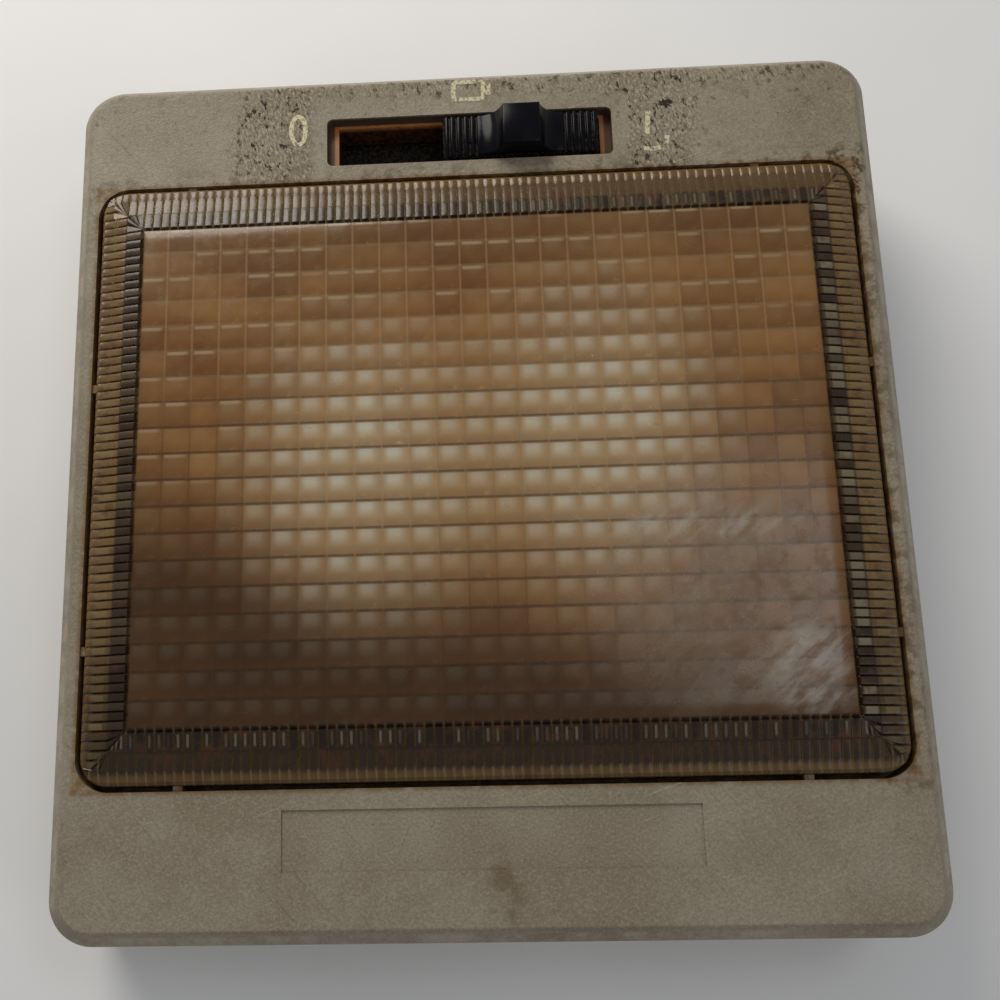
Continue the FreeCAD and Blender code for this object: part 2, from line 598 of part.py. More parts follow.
def build_bulb(side, name):
    """Tubular bulb with a metal cap at each end, along Y."""
    neck_start = "(glass_straight / 2 + shoulder)"
    neck_end = f"({neck_start} + neck_length)"
    half = "glass_straight / 2"
    glass = new_part(f"bulb_glass_{name}")
    outer = [(f"-{neck_end}", "neck_radius"), (f"-{neck_start}", "neck_radius"), (f"-{half}", "glass_radius"),
             (half, "glass_radius"), (neck_start, "neck_radius"), (neck_end, "neck_radius")]
    inner = [(x, f"{r} - glass_wall") for x, r in reversed(outer)]
    turned(glass, "tube", "YZ", "0", "H", outline(outer + inner))
    caps = new_part(f"bulb_caps_{name}")
    straight_end = f"({CAP_START} + cap_length)"
    cone_end = f"({straight_end} + cone_length)"
    nipple_end = f"({cone_end} + nipple_length)"
    floor = f"({neck_end} + cap_play)"
    bore = "neck_radius + cap_play"
    for number, way in enumerate(("", "-")):
        shape = [(CAP_START, bore), (CAP_START, "cap_radius"), (straight_end, "cap_radius"),
                 (cone_end, "nipple_radius"), (nipple_end, "nipple_radius"), (nipple_end, "0"),
                 (floor, "0"), (floor, bore)]
        turned(caps, f"cap{number}", "YZ", "0", "H", outline([(way + x, r) for x, r in shape]))
    filament = new_part(f"bulb_filament_{name}")
    coil = "coil_length / 2"
    low_end = [(f"-{neck_end}", "0"), (f"-{neck_end}", "lead_radius"), (f"-{coil}", "lead_radius")]
    high_end = [(coil, "lead_radius"), (neck_end, "lead_radius"), (neck_end, "0")]
    rod = [(f"-{coil}", "coil_radius"), (coil, "coil_radius")]
    turned(filament, "wire", "YZ", "0", "H", outline(low_end + rod + high_end))
    for body in (glass, caps, filament):
        place(body, f"{side} * bulb_spacing / 2", BULB_Y, f"{REFLECTOR} + bulb_rise")


def build_clip(side, end, name):
    """Spring clip: riveted foot, arm over the trough and an upright that takes the point of the cap."""
    body = new_part(f"bulb_clip_{name}")
    x = f"{side} * bulb_spacing / 2"
    low, top = REFLECTOR, f"{REFLECTOR} + clip_rise"
    face, tail = CLIP_FACE, "(trough_length / 2 + clip_foot)"
    inner, arm_top = f"{face} + clip_thickness", f"{low} + clip_thickness"
    profile = [(face, low), (tail, low), (tail, arm_top), (inner, arm_top), (inner, top), (face, top)]
    profile = [(f"{BULB_Y} + {end} * ({y})", z) for y, z in profile]
    add(body, "strip", "YZ", f"{x} - clip_width / 2", f"{x} + clip_width / 2", outline(profile))
    cut(body, "rivet_hole", "XY", f"{low} - 1", f"{low} + clip_thickness + 1",
        disc(x, f"{BULB_Y} + {end} * {CLIP_RIVET}", "rivet_radius + rivet_play"))
    middle = f"({BULB_Y} + {end} * ({face} + clip_thickness / 2))"
    cut(body, "cap_hole", "XZ", f"{middle} - clip_thickness", f"{middle} + clip_thickness",
        disc(x, f"{REFLECTOR} + bulb_rise", "nipple_radius + 3 * cap_play"))


def build_clip_rivets():
    """Four tubular rivets through clip, reflector and busbar."""
    body = new_part("clip_rivets")
    spots = mirrored_pairs("bulb_spacing / 2", CLIP_RIVET, BULB_Y)
    top = f"({REFLECTOR} + clip_thickness)"
    add(body, "shanks", "XY", BUSBAR_BACK, top, *[disc(x, y, "rivet_radius") for x, y in spots])
    add(body, "front_heads", "XY", top, f"{top} + rivet_cap", *[disc(x, y, "rivet_head") for x, y in spots])
    add(body, "rear_heads", "XY", f"{BUSBAR_BACK} - rivet_cap", BUSBAR_BACK,
        *[disc(x, y, "rivet_head") for x, y in spots])


def build_busbar(label, end, arm_x, foot_end, rivet_y):
    """Formed strip: joins two clips behind the reflector and steps up to the contact board."""
    body = new_part(label)
    row = f"({BULB_Y} + {end} * {CLIP_RIVET})"
    inner = "bulb_spacing / 2 + strip_width / 2"
    far = f"({arm_x})"
    side = -1 if value(arm_x) < 0 else 1
    edge = f"({far} + {side} * arm_width / 2)"
    middle = f"({edge} - {side} * ({inner})) / 2"
    add(body, "cross_strip", "XY", BUSBAR_BACK, PLATE_BACK,
        rectangle(middle, row, f"abs({edge}) + {inner}", "strip_width"))
    bend = f"({FOOT_START} - 1.5 * strip_thickness)"
    arm = [(row, BUSBAR_BACK), (f"{bend} + strip_thickness", BUSBAR_BACK),
           (f"{bend} + strip_thickness", f"{BOARD_BACK} - strip_thickness"),
           (foot_end, f"{BOARD_BACK} - strip_thickness"), (foot_end, BOARD_BACK), (bend, BOARD_BACK),
           (bend, PLATE_BACK), (row, PLATE_BACK)]
    add(body, "arm", "YZ", f"{far} - arm_width / 2", f"{far} + arm_width / 2", outline(arm))
    holes = [disc(f"{i} * bulb_spacing / 2", row, "rivet_radius + rivet_play") for i in (-1, 1)]
    cut(body, "clip_holes", "XY", f"{BUSBAR_BACK} - 1", f"{PLATE_BACK} + 1", *holes)
    cut(body, "board_hole", "XY", f"{BOARD_BACK} - 2", f"{BOARD_BACK} + 1",
        disc(far, rivet_y, "contact_rivet + rivet_play"))


def contact_spots():
    """Places of the contact rivets: supply, door, ground and lamp."""
    return {"supply": ("-terminal_pitch", FOOT_RIVET_Y), "door": ("0", FOOT_RIVET_Y),
            "ground": ("terminal_pitch", FOOT_RIVET_Y), "lamp": (LAMP_ARM_X, LAMP_ROW)}


def build_board():
    """Laminate board that carries the contacts, with three detent notches."""
    body = new_part("switch_board")
    add(body, "board", "XY", BOARD_BACK, BOARD_TOP,
        rounded("0", SWITCH_Y, f"2 * ({SWITCH_PILLAR_X} + board_margin)", "board_length", "slot_corner"))
    screw_hole = "screw_radius + 2 * rivet_play"
    holes = [disc(f"{side} * {SWITCH_PILLAR_X}", SWITCH_Y, screw_hole) for side in (-1, 1)]
    holes += [disc(x, y, "contact_rivet + rivet_play") for x, y in contact_spots().values()]
    cut(body, "holes", "XY", f"{BOARD_BACK} - 1", f"{BOARD_TOP} + 1", *holes)
    notches = [rectangle(f"{step} * switch_travel - {DETENT_OFFSET}", SWITCH_Y, "notch_width", "notch_length")
               for step in (-1, 0, 1)]
    cut(body, "notches", "XY", f"{BOARD_TOP} - notch_depth", f"{BOARD_TOP} + 1", *notches)


def build_frame():
    """Amber moulded frame behind the slot: it guides the slider and fits over the switch pillars."""
    body = new_part("switch_frame")
    top = CEILING
    add(body, "collar", "XY", f"{top} - frame_depth", top,
        rounded("0", SWITCH_Y, f"{WINDOW_WIDTH} + 2 * frame_bar", "frame_length", "slot_corner"))
    flange_width = f"2 * ({SWITCH_PILLAR_X} + switch_pillar_radius + frame_flange_lap)"
    add(body, "flange", "XY", f"{top} - frame_flange", top,
        rounded("0", SWITCH_Y, flange_width, "frame_length", "slot_corner"))
    cut(body, "window", "XY", f"{top} - frame_depth - 1", f"{top} + 1",
        rectangle("0", SWITCH_Y, WINDOW_WIDTH, "frame_window_length"))
    cut(body, "pillar_holes", "XY", f"{top} - frame_depth - 1", f"{top} + 1",
        *[disc(f"{side} * {SWITCH_PILLAR_X}", SWITCH_Y, "switch_pillar_radius + rivet_play")
          for side in (-1, 1)])


def build_slider():
    """Black slider at its right-hand stop: shutter plate, two grooved wings and the middle knob."""
    body = new_part("switch_slider")
    add(body, "shutter", "XY", SHUTTER_BACK, f"{SHUTTER_BACK} + shutter_thickness",
        rounded("0", "0", SHUTTER_WIDTH, "shutter_length", "slot_corner"))
    half = "wing_width / 2"
    wing, knob = f"({FRONT} + wing_rise)", f"({FRONT} + knob_rise)"
    foot = f"({SHUTTER_BACK} + shutter_thickness / 2)"
    ramp = "(knob_width / 2 + ramp_width)"
    profile = [(f"-{half}", foot), (half, foot), (half, f"{wing} - wing_edge"), (f"{half} - wing_edge", wing),
               (ramp, wing), ("knob_width / 2", knob), ("-knob_width / 2", knob), (f"-{ramp}", wing),
               (f"-{half} + wing_edge", wing), (f"-{half}", f"{wing} - wing_edge")]
    reach = "(frame_window_length / 2 - wing_side_gap)"
    add(body, "wings_and_knob", "XZ", f"-{reach}", reach,
        outline(profile, {4: "-ramp_radius", 6: "-ramp_radius"}))
    add(body, "carrier", "XY", f"{SHUTTER_BACK} - carrier_height", SHUTTER_BACK,
        rectangle("0", "0", "carrier_width", "bridge_length"))
    pad_start = f"{half} - grip_pitch / 2 - wing_edge"
    for number, side in enumerate((-1, 1)):
        first = f"{side} * ({pad_start})" if side < 0 else f"{pad_start} - (grip_count - 1) * grip_pitch"
        groove = cut(body, f"groove{number}", "XZ", f"-{reach} - 1", f"{reach} + 1",
                     rectangle(first, f"{wing} - grip_depth / 2 + 0.5", "grip_groove", "grip_depth + 1"))
        repeated(body, groove, "X", "(grip_count - 1) * grip_pitch", "grip_count")
    place(body, "switch_travel", SWITCH_Y)


def build_bridge():
    """Contact bridge under the slider: a flat strip with a dome over each contact row."""
    body = new_part("contact_bridge")
    top = f"({SHUTTER_BACK} - carrier_height)"
    back = f"({top} - bridge_thickness)"
    add(body, "strip", "XY", back, top, rectangle("0", "0", "bridge_width", "bridge_length"))
    tip = f"({BOARD_TOP} + contact_thickness + contact_gap)"
    for number, row in enumerate(("contact_row", "-contact_row")):
        dome = add(body, f"dome{number}", "XY", tip, back, disc("0", row, "dome_radius"))
        dress(body, "Fillet", f"dome_round{number}", dome, [tip], f"({back} - {tip}) / 2")
    place(body, "switch_travel", SWITCH_Y)


def build_detent():
    """Bowed spring strip under the shutter plate whose crest lies in a notch of the board."""
    body = new_part("detent_spring")
    sag = "(shutter_gap + detent_bite)"
    half = "(detent_span / 2)"
    radius = f"(({half} * {half} + {sag} * {sag}) / (2 * {sag}))"
    inner_half = f"sqrt(pow({radius} - detent_thickness; 2) - pow({radius} - {sag}; 2))"
    add(body, "bow", "XZ", "-detent_width / 2", "detent_width / 2",
        outline([(f"-{half}", SHUTTER_BACK), (half, SHUTTER_BACK), (inner_half, SHUTTER_BACK),
                 (f"-{inner_half}", SHUTTER_BACK)], {0: radius, 2: f"-({radius} - detent_thickness)"}))
    place(body, f"switch_travel - {DETENT_OFFSET}", SWITCH_Y)


def build_contacts():
    """Fixed contacts on the board: the long lamp strip, the door pad and the ground pad."""
    top = f"{BOARD_TOP} + contact_thickness"
    pad, half = "contact_pad / 2", "contact_width / 2"
    bridge_reach = "(switch_travel + contact_pad / 2)"
    low = f"({FOOT_RIVET_Y} - contact_rivet_head)"
    lamp_end = f"({LAMP_ARM_X} + {pad})"
    lamp = new_part("lamp_contact")
    middle, span = f"({lamp_end} - {bridge_reach}) / 2", f"{lamp_end} + {bridge_reach}"
    add(lamp, "strip", "XY", BOARD_TOP, top, rectangle(middle, LAMP_ROW, span, "contact_width"))
    door = new_part("door_contact")
    high = f"{PAD_ROW} + {half}"
    add(door, "pad", "XY", BOARD_TOP, top,
        outline([(f"-{pad}", low), (pad, low), (pad, high), (f"-{pad}", high)]))
    ground = new_part("ground_contact")
    start, inner, right = f"switch_travel - {pad}", f"terminal_pitch - {pad}", f"terminal_pitch + {pad}"
    step = f"{PAD_ROW} - {half}"
    add(ground, "pad", "XY", BOARD_TOP, top,
        outline([(start, step), (inner, step), (inner, low), (right, low), (right, high), (start, high)]))
    for body, name in ((lamp, "lamp"), (door, "door"), (ground, "ground")):
        x, y = contact_spots()[name]
        cut(body, "hole", "XY", f"{BOARD_TOP} - 1", f"{top} + 1", disc(x, y, "contact_rivet + rivet_play"))


def build_terminal(label, name, foot_top):
    """Blade terminal: a foot under the board and a blade that points to the rear."""
    body = new_part(label)
    x, y = contact_spots()[name]
    foot_back = f"({foot_top} - blade_thickness)"
    end = f"({FOOT_START} + foot_length)"
    inner, tip = f"{end} - blade_thickness", f"{foot_back} - blade_length"
    add(body, "blade", "YZ", f"{x} - blade_width / 2", f"{x} + blade_width / 2",
        outline([(FOOT_START, foot_back), (inner, foot_back), (inner, tip), (end, tip), (end, foot_top),
                 (FOOT_START, foot_top)]))
    cut(body, "hole", "XY", f"{foot_back} - 1", f"{foot_top} + 1", disc(x, y, "contact_rivet + rivet_play"))


def build_contact_rivets():
    """Rivets that clamp the contacts, the board and the terminals or the busbar together."""
    body = new_part("contact_rivets")
    spots = contact_spots()
    spans = {"supply": (BOARD_TOP, f"{BOARD_BACK} - strip_thickness - blade_thickness"),
             "door": (f"{BOARD_TOP} + contact_thickness", f"{BOARD_BACK} - blade_thickness"),
             "ground": (f"{BOARD_TOP} + contact_thickness", f"{BOARD_BACK} - blade_thickness"),
             "lamp": (f"{BOARD_TOP} + contact_thickness", f"{BOARD_BACK} - strip_thickness")}
    for name, (top, back) in spans.items():
        x, y = spots[name]
        add(body, f"{name}_shank", "XY", back, top, disc(x, y, "contact_rivet"))
        add(body, f"{name}_front", "XY", top, f"{top} + rivet_cap", disc(x, y, "contact_rivet_head"))
        add(body, f"{name}_rear", "XY", f"{back} - rivet_cap", back, disc(x, y, "contact_rivet_head"))


def check_and_write():
    """Stop on any failed feature, then write one STEP file for each sub-part."""
    doc.recompute()
    for item in doc.Objects:
        if "Invalid" in item.State or "Error" in item.State:
            raise RuntimeError(f"{item.Label} did not compute: {item.State}")
    for body in parts:
        if body.Shape.isNull() or not body.Shape.isValid() or not body.Shape.Solids:
            raise RuntimeError(f"{body.Label} has no valid solid")
    os.makedirs("parts", exist_ok=True)
    for body in parts:
        body.Shape.exportStep(f"parts/{body.Label}.step")
        print(body.Label, len(body.Shape.Solids), round(body.Shape.Volume, 1))


sheet = make_sheet()
build_housing()
build_lens()
build_reflector()
build_screws("reflector_screws", mirrored_pairs(PILLAR_X, PILLAR_Y, LENS_Y), PLATE_BACK)
for side, name in ((-1, "left"), (1, "right")):
    build_bulb(side, name)
    for end, height in ((1, "upper"), (-1, "lower")):
        build_clip(side, end, f"{height}_{name}")
build_clip_rivets()
build_busbar("supply_busbar", 1, "-terminal_pitch", f"{FOOT_START} + foot_length", FOOT_RIVET_Y)
build_busbar("lamp_busbar", -1, LAMP_ARM_X, f"{LAMP_ROW} + contact_rivet_head", LAMP_ROW)
build_board()
build_frame()
build_slider()
build_bridge()
build_detent()
build_contacts()
build_terminal("supply_terminal", "supply", f"({BOARD_BACK} - strip_thickness)")
build_terminal("door_terminal", "door", BOARD_BACK)
build_terminal("ground_terminal", "ground", BOARD_BACK)
build_contact_rivets()
build_screws("switch_screws", [(f"{side} * {SWITCH_PILLAR_X}", SWITCH_Y) for side in (-1, 1)], BOARD_BACK)
check_and_write()
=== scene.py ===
"""Looks of a vehicle interior lamp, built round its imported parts.

Shapes are in metres. The finishes measure places on the lamp in millimetres.
"""
import math

import bmesh
import bpy
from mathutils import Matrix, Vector


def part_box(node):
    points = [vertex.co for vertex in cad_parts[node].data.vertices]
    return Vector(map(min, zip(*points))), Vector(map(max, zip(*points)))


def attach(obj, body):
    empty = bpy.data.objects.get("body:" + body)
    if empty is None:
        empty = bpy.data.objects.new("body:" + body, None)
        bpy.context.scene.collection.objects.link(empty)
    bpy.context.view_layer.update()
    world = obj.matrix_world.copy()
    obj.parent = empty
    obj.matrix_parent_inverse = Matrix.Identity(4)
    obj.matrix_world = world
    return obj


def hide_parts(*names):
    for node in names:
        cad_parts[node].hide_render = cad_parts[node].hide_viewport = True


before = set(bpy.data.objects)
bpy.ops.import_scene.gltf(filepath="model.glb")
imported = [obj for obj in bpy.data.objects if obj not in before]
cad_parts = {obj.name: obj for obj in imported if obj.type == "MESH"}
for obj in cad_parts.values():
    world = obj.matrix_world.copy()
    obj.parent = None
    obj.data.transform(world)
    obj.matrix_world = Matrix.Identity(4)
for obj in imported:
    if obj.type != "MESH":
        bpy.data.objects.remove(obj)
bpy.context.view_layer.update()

bl_info = {
    "name": "Interior lamp",
    "version": (1, 0, 0),
    "blender": (4, 5, 0),
    "location": "3D View > Sidebar > Lamp",
    "description": "Builds the lens, bulbs, switch and finishes of a vehicle interior lamp",
    "category": "Object",
}

MM = 0.001
LENS_LOW, LENS_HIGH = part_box("lens")
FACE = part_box("housing")[1].z
MERGE = 2e-6

# Places that the finishes follow, in millimetres.
PRISM_MM = 5.0
RIB_MM = PRISM_MM / 3.0
LENS_Y_MM = 1.4
SLOT_Y_MM = 67.7

# The lens's mesh: steps along a prism inside it, along a prism on its smooth panel, and along a rib.
PRISM_STEPS = 6
PANEL_STEPS = 3
RIB_STEPS = 4
PANEL_EDGE = 0.9 * MM

# The bulb glass: its open neck's share of the radius, and its straight tube's share of the length.
NECK_SHARE = 3.4 / 7.0
STRAIGHT_SHARE = 10.0 / 14.0

LIGHTS = {
    "key": ((-0.2, 0.42, 0.3), 0.32, (1.0, 0.95, 0.87)),
    "glare": ((0.22, 0.1, 0.62), 0.17, (0.94, 0.97, 1.0)),
    "fill": ((0.7, -0.35, 0.6), 0.5, (0.96, 0.98, 1.0)),
}
LIGHT_AIM = (0, 0, 0.02)
CAMERA_PLACE = (-0.0049, -0.0643, 0.2222)
CAMERA_TURN = (11.875, 2.946, -0.921)
CAMERA_LENS = 39.906
CAMERA_SHIFT = (0.0965, 0.0994)
FLOOR_RADIUS = 4.0
FLOOR_HEIGHT = -0.0003


# ---------------------------------------------------------------- node trees

class Signal:
    """A number socket, so that maths on it reads as maths."""

    def __init__(self, tree, socket):
        self.tree, self.socket = tree, socket

    def __add__(self, other):
        return self.tree.maths("ADD", self, other)

    def __sub__(self, other):
        return self.tree.maths("SUBTRACT", self, other)

    def __rsub__(self, other):
        return self.tree.maths("SUBTRACT", other, self)

    def __mul__(self, other):
        return self.tree.maths("MULTIPLY", self, other)

    def __truediv__(self, other):
        return self.tree.maths("DIVIDE", self, other)

    def __gt__(self, other):
        return self.tree.maths("GREATER_THAN", self, other)

    def __abs__(self):
        return self.tree.maths("ABSOLUTE", self)

    __radd__ = __add__
    __rmul__ = __mul__


class Tree:
    """Adds nodes to a shader or geometry tree."""

    def __init__(self, tree):
        self.tree = tree

    def node(self, kind, settings=None, sockets=None):
        """A new node. The settings are set first, then the sockets' values or links."""
        made = self.tree.nodes.new(kind)
        for key, value in (settings or {}).items():
            setattr(made, key, value)
        for key, value in (sockets or {}).items():
            self.feed(made.inputs[key], value)
        return made

    def feed(self, socket, value):
        value = value.socket if isinstance(value, Signal) else value
        if isinstance(value, bpy.types.NodeSocket):
            self.tree.links.new(value, socket)
        else:
            socket.default_value = value

    def maths(self, operation, *values):
        made = self.node("ShaderNodeMath", {"operation": operation}, dict(enumerate(values)))
        return Signal(self, made.outputs[0])

    def vector(self, x, y, z):
        return self.node("ShaderNodeCombineXYZ", {}, {0: x, 1: y, 2: z}).outputs[0]

    def apart(self, vector):
        made = self.node("ShaderNodeSeparateXYZ", {}, {0: vector})
        return [Signal(self, socket) for socket in made.outputs]


def paint(red, green, blue):
    """A colour as 0 to 255 screen values, turned linear."""
    parts = [c / 255 for c in (red, green, blue)]
    return (*(c / 12.92 if c <= 0.04045 else ((c + 0.055) / 1.055) ** 2.4 for c in parts), 1.0)


class Finish(Tree):
    """A procedural material. Its places are in millimetres in the lamp's own frame."""

    def __init__(self, name):
        self.material = bpy.data.materials.new(name)
        self.material.use_nodes = True
        super().__init__(self.material.node_tree)
        self.tree.nodes.clear()
        metres = self.node("ShaderNodeTexCoord").outputs["Object"]
        scaled = self.node("ShaderNodeVectorMath", {"operation": "SCALE"}, {0: metres, "Scale": 1000.0})
        self.place = scaled.outputs[0]
        self.x, self.y, self.z = self.apart(self.place)

    def noise(self, size, detail=3.0, rough=0.55, turn=0.0, shift=(0.0, 0.0, 0.0)):
        """Cloudy noise with lumps of that size in millimetres, or that size along three turned axes."""
        sizes = size if isinstance(size, tuple) else (size, size, size)
        at = self.node("ShaderNodeMapping", {"vector_type": "TEXTURE"},
                       {"Vector": self.place, "Location": shift, "Rotation": (0, 0, turn), "Scale": sizes})
        made = self.node("ShaderNodeTexNoise", {},
                         {"Vector": at.outputs[0], "Scale": 1.0, "Detail": detail, "Roughness": rough})
        return Signal(self, made.outputs[0])

    def between(self, value, low, high):
        """0 where the value is at low, 1 where it is at high, and smooth between."""
        made = self.node("ShaderNodeMapRange", {"interpolation_type": "SMOOTHSTEP"},
                         {"Value": value, "From Min": low, "From Max": high})
        return Signal(self, made.outputs[0])

    def near(self, x, y, wide, tall, soft):
        """1 in an oval patch on the face, fading to 0 outside it."""
        across, up = (self.x - x) / wide, (self.y - y) / tall
        away = self.maths("SQRT", across * across + up * up)
        return self.between(away, 1.0 + soft, 1.0)

    def outside(self, half_x, half_y, y):
        """Distance outside a rectangle on the face, negative inside it."""
        across, up = abs(self.x) - half_x, abs(self.y - y) - half_y
        return self.maths("MAXIMUM", across, up)

    def scratches(self, length, width, turn, rarity, shift=(0.0, 0.0, 0.0)):
        """Thin streaks along one direction."""
        streaks = self.noise((length, width, width), 2.0, 0.5, turn, shift)
        return self.between(streaks, rarity, rarity + 0.03)

    def mix(self, factor, first, second):
        """The first colour, turning to the second where the factor is 1."""
        made = self.node("ShaderNodeMix", {"data_type": "RGBA"}, {0: factor, 6: first, 7: second})
        return made.outputs[2]

    def close(self, colour, roughness, height=None, **constants):
        """Ends the material in a Principled shader. The height is in millimetres."""
        sockets = {"Base Color": colour, "Roughness": roughness}
        if height is not None:
            bump = self.node("ShaderNodeBump", {}, {"Strength": 1.0, "Distance": MM, "Height": height})
            sockets["Normal"] = bump.outputs[0]
        sockets.update({key.replace("_", " "): value for key, value in constants.items()})
        shader = self.node("ShaderNodeBsdfPrincipled", {}, sockets)
        self.node("ShaderNodeOutputMaterial", {}, {"Surface": shader.outputs[0]})
        return self.material


class Growth(Tree):
    """A geometry tree with named inputs, whose result becomes a plain mesh."""

    def __init__(self, name, sizes, material):
        super().__init__(bpy.data.node_groups.new(name, "GeometryNodeTree"))
        self.values = {}
        for label, value in {**sizes, "Finish": material}.items():
            kind = {int: "Int", float: "Float"}.get(type(value), "Material")
            socket = self.tree.interface.new_socket(
                name=label, in_out="INPUT", socket_type=f"NodeSocket{kind}")
            self.values[socket.identifier] = value
        self.tree.interface.new_socket(name="Geometry", in_out="OUTPUT", socket_type="NodeSocketGeometry")
        self.inputs = self.node("NodeGroupInput")

    def size(self, label):
        return Signal(self, self.inputs.outputs[label])

    def pick(self, index, items, kind="FLOAT"):
        """The item whose place in the list is the index."""
        made = self.node("GeometryNodeIndexSwitch", {"data_type": kind})
        while len(made.index_switch_items) < len(items):
            made.index_switch_items.new()
        self.feed(made.inputs["Index"], index)
        for place, item in enumerate(items):
            self.feed(made.inputs[str(place)], item)
        return made.outputs[0]

    def sheet(self, columns, rows):
        """A grid and the column and row number of its points."""
        grid = self.node("GeometryNodeMeshGrid", {},
                         {"Size X": 1.0, "Size Y": 1.0, "Vertices X": columns, "Vertices Y": rows})
        x, y, _ = self.apart(self.node("GeometryNodeInputPosition").outputs[0])
        column = self.maths("ROUND", (x + 0.5) * (columns - 1))
        row = self.maths("ROUND", (y + 0.5) * (rows - 1))
        return grid.outputs["Mesh"], column, row

    def moved(self, geometry, position):
        return self.node("GeometryNodeSetPosition", {},
                         {"Geometry": geometry, "Position": position}).outputs[0]

    def joined(self, parts):
        join = self.node("GeometryNodeJoinGeometry")
        for part in parts:
            self.tree.links.new(part, join.inputs[0])
        return join.outputs[0]

    def grown(self, name, geometry):
        """Ends the tree, and returns its result as an object with a plain mesh."""
        real = self.node("GeometryNodeRealizeInstances", {}, {0: geometry})
        coated = self.node("GeometryNodeSetMaterial", {},
                           {"Geometry": real.outputs[0], "Material": self.size("Finish")})
        end = self.node("NodeGroupOutput")
        self.tree.links.new(coated.outputs[0], end.inputs[0])
        made = linked_object(name, bpy.data.meshes.new(name))
        modifier = made.modifiers.new("Growth", "NODES")
        modifier.node_group = self.tree
        for identifier, value in self.values.items():
            modifier[identifier] = value
        evaluated = made.evaluated_get(bpy.context.evaluated_depsgraph_get())
        mesh = bpy.data.meshes.new_from_object(evaluated)
        made.modifiers.clear()
        made.data = mesh
        return made


# ---------------------------------------------------------------- meshes

def linked_object(name, data):
    made = bpy.data.objects.new(name, data)
    bpy.context.scene.collection.objects.link(made)
    return made


def piece(name, bm, material, sharp=30.0):
    """A mesh object with outward faces, smooth except at edges sharper than the angle."""
    bmesh.ops.recalc_face_normals(bm, faces=bm.faces)
    mesh = bpy.data.meshes.new(name)
    bm.to_mesh(mesh)
    bm.free()
    mesh.materials.append(material)
    made = linked_object(name, mesh)
    smoothed(made, sharp)
    return made


def smoothed(made, sharp):
    made.data.shade_smooth()
    made.data.set_sharp_from_angle(angle=math.radians(sharp))


def settled(made, body, nodes=()):
    """Says which body a piece rides on and the nodes that it stands for."""
    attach(made, body)
    if nodes:
        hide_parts(*nodes)


def turned(profile, centre, segments=40):
    """A closed profile of (radius, along) points, turned round a line along Y through the centre."""
    bm = bmesh.new()
    rings = []
    for radius, along in profile:
        if radius < MERGE:
            rings.append([bm.verts.new(centre + Vector((0, along, 0)))])
            continue
        rings.append([
            bm.verts.new(centre + Vector((radius * math.cos(a), along, radius * math.sin(a))))
            for a in (2 * math.pi * i / segments for i in range(segments))
        ])
    for low, high in zip(rings, rings[1:] + rings[:1]):
        for i in range(segments):
            j = (i + 1) % segments
            corners = [low[i % len(low)], low[j % len(low)], high[j % len(high)], high[i % len(high)]]
            corners = list(dict.fromkeys(corners))
            if len(corners) > 2:
                bm.faces.new(corners)
    return bm


def ribbon(bm, points, width, low, high, closed=True):
    """A flat line of paint along points on the face, as a thin closed strip."""
    count = len(points)
    rows = []
    for i, (x, y) in enumerate(points):
        before = points[(i - 1) % count] if closed or i else points[i]
        after = points[(i + 1) % count] if closed or i < count - 1 else points[i]
        along = Vector((after[0] - before[0], after[1] - before[1])).normalized()
        side = Vector((-along.y, along.x)) * width / 2
        rows.append([bm.verts.new((x + s * side.x, y + s * side.y, z))
                     for s, z in ((1, low), (1, high), (-1, high), (-1, low))])
    pairs = list(zip(rows, rows[1:])) + ([(rows[-1], rows[0])] if closed else [])
    for first, second in pairs:
        for k in range(4):
            bm.faces.new((first[k], first[(k + 1) % 4], second[(k + 1) % 4], second[k]))
    if not closed:
        bm.faces.new(rows[0])
        bm.faces.new(reversed(rows[-1]))


def softened(node, name, material, width):
    """A copy of a CAD node with its edges broken by a small bevel."""
    bm = bmesh.new()
    bm.from_mesh(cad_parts[node].data)
    bmesh.ops.remove_doubles(bm, verts=bm.verts, dist=MERGE)
    bmesh.ops.dissolve_limit(bm, angle_limit=math.radians(2), verts=bm.verts, edges=bm.edges)
    made = piece(name, bm, material)
    bevel = made.modifiers.new("Edge", "BEVEL")
    bevel.width = width
    bevel.segments = 2
    bevel.limit_method = "ANGLE"
    bevel.angle_limit = math.radians(28)
    bevel.use_clamp_overlap = True
    evaluated = made.evaluated_get(bpy.context.evaluated_depsgraph_get())
    mesh = bpy.data.meshes.new_from_object(evaluated)
    made.modifiers.clear()
    made.data = mesh
    smoothed(made, 40.0)
    return made


# ---------------------------------------------------------------- finishes

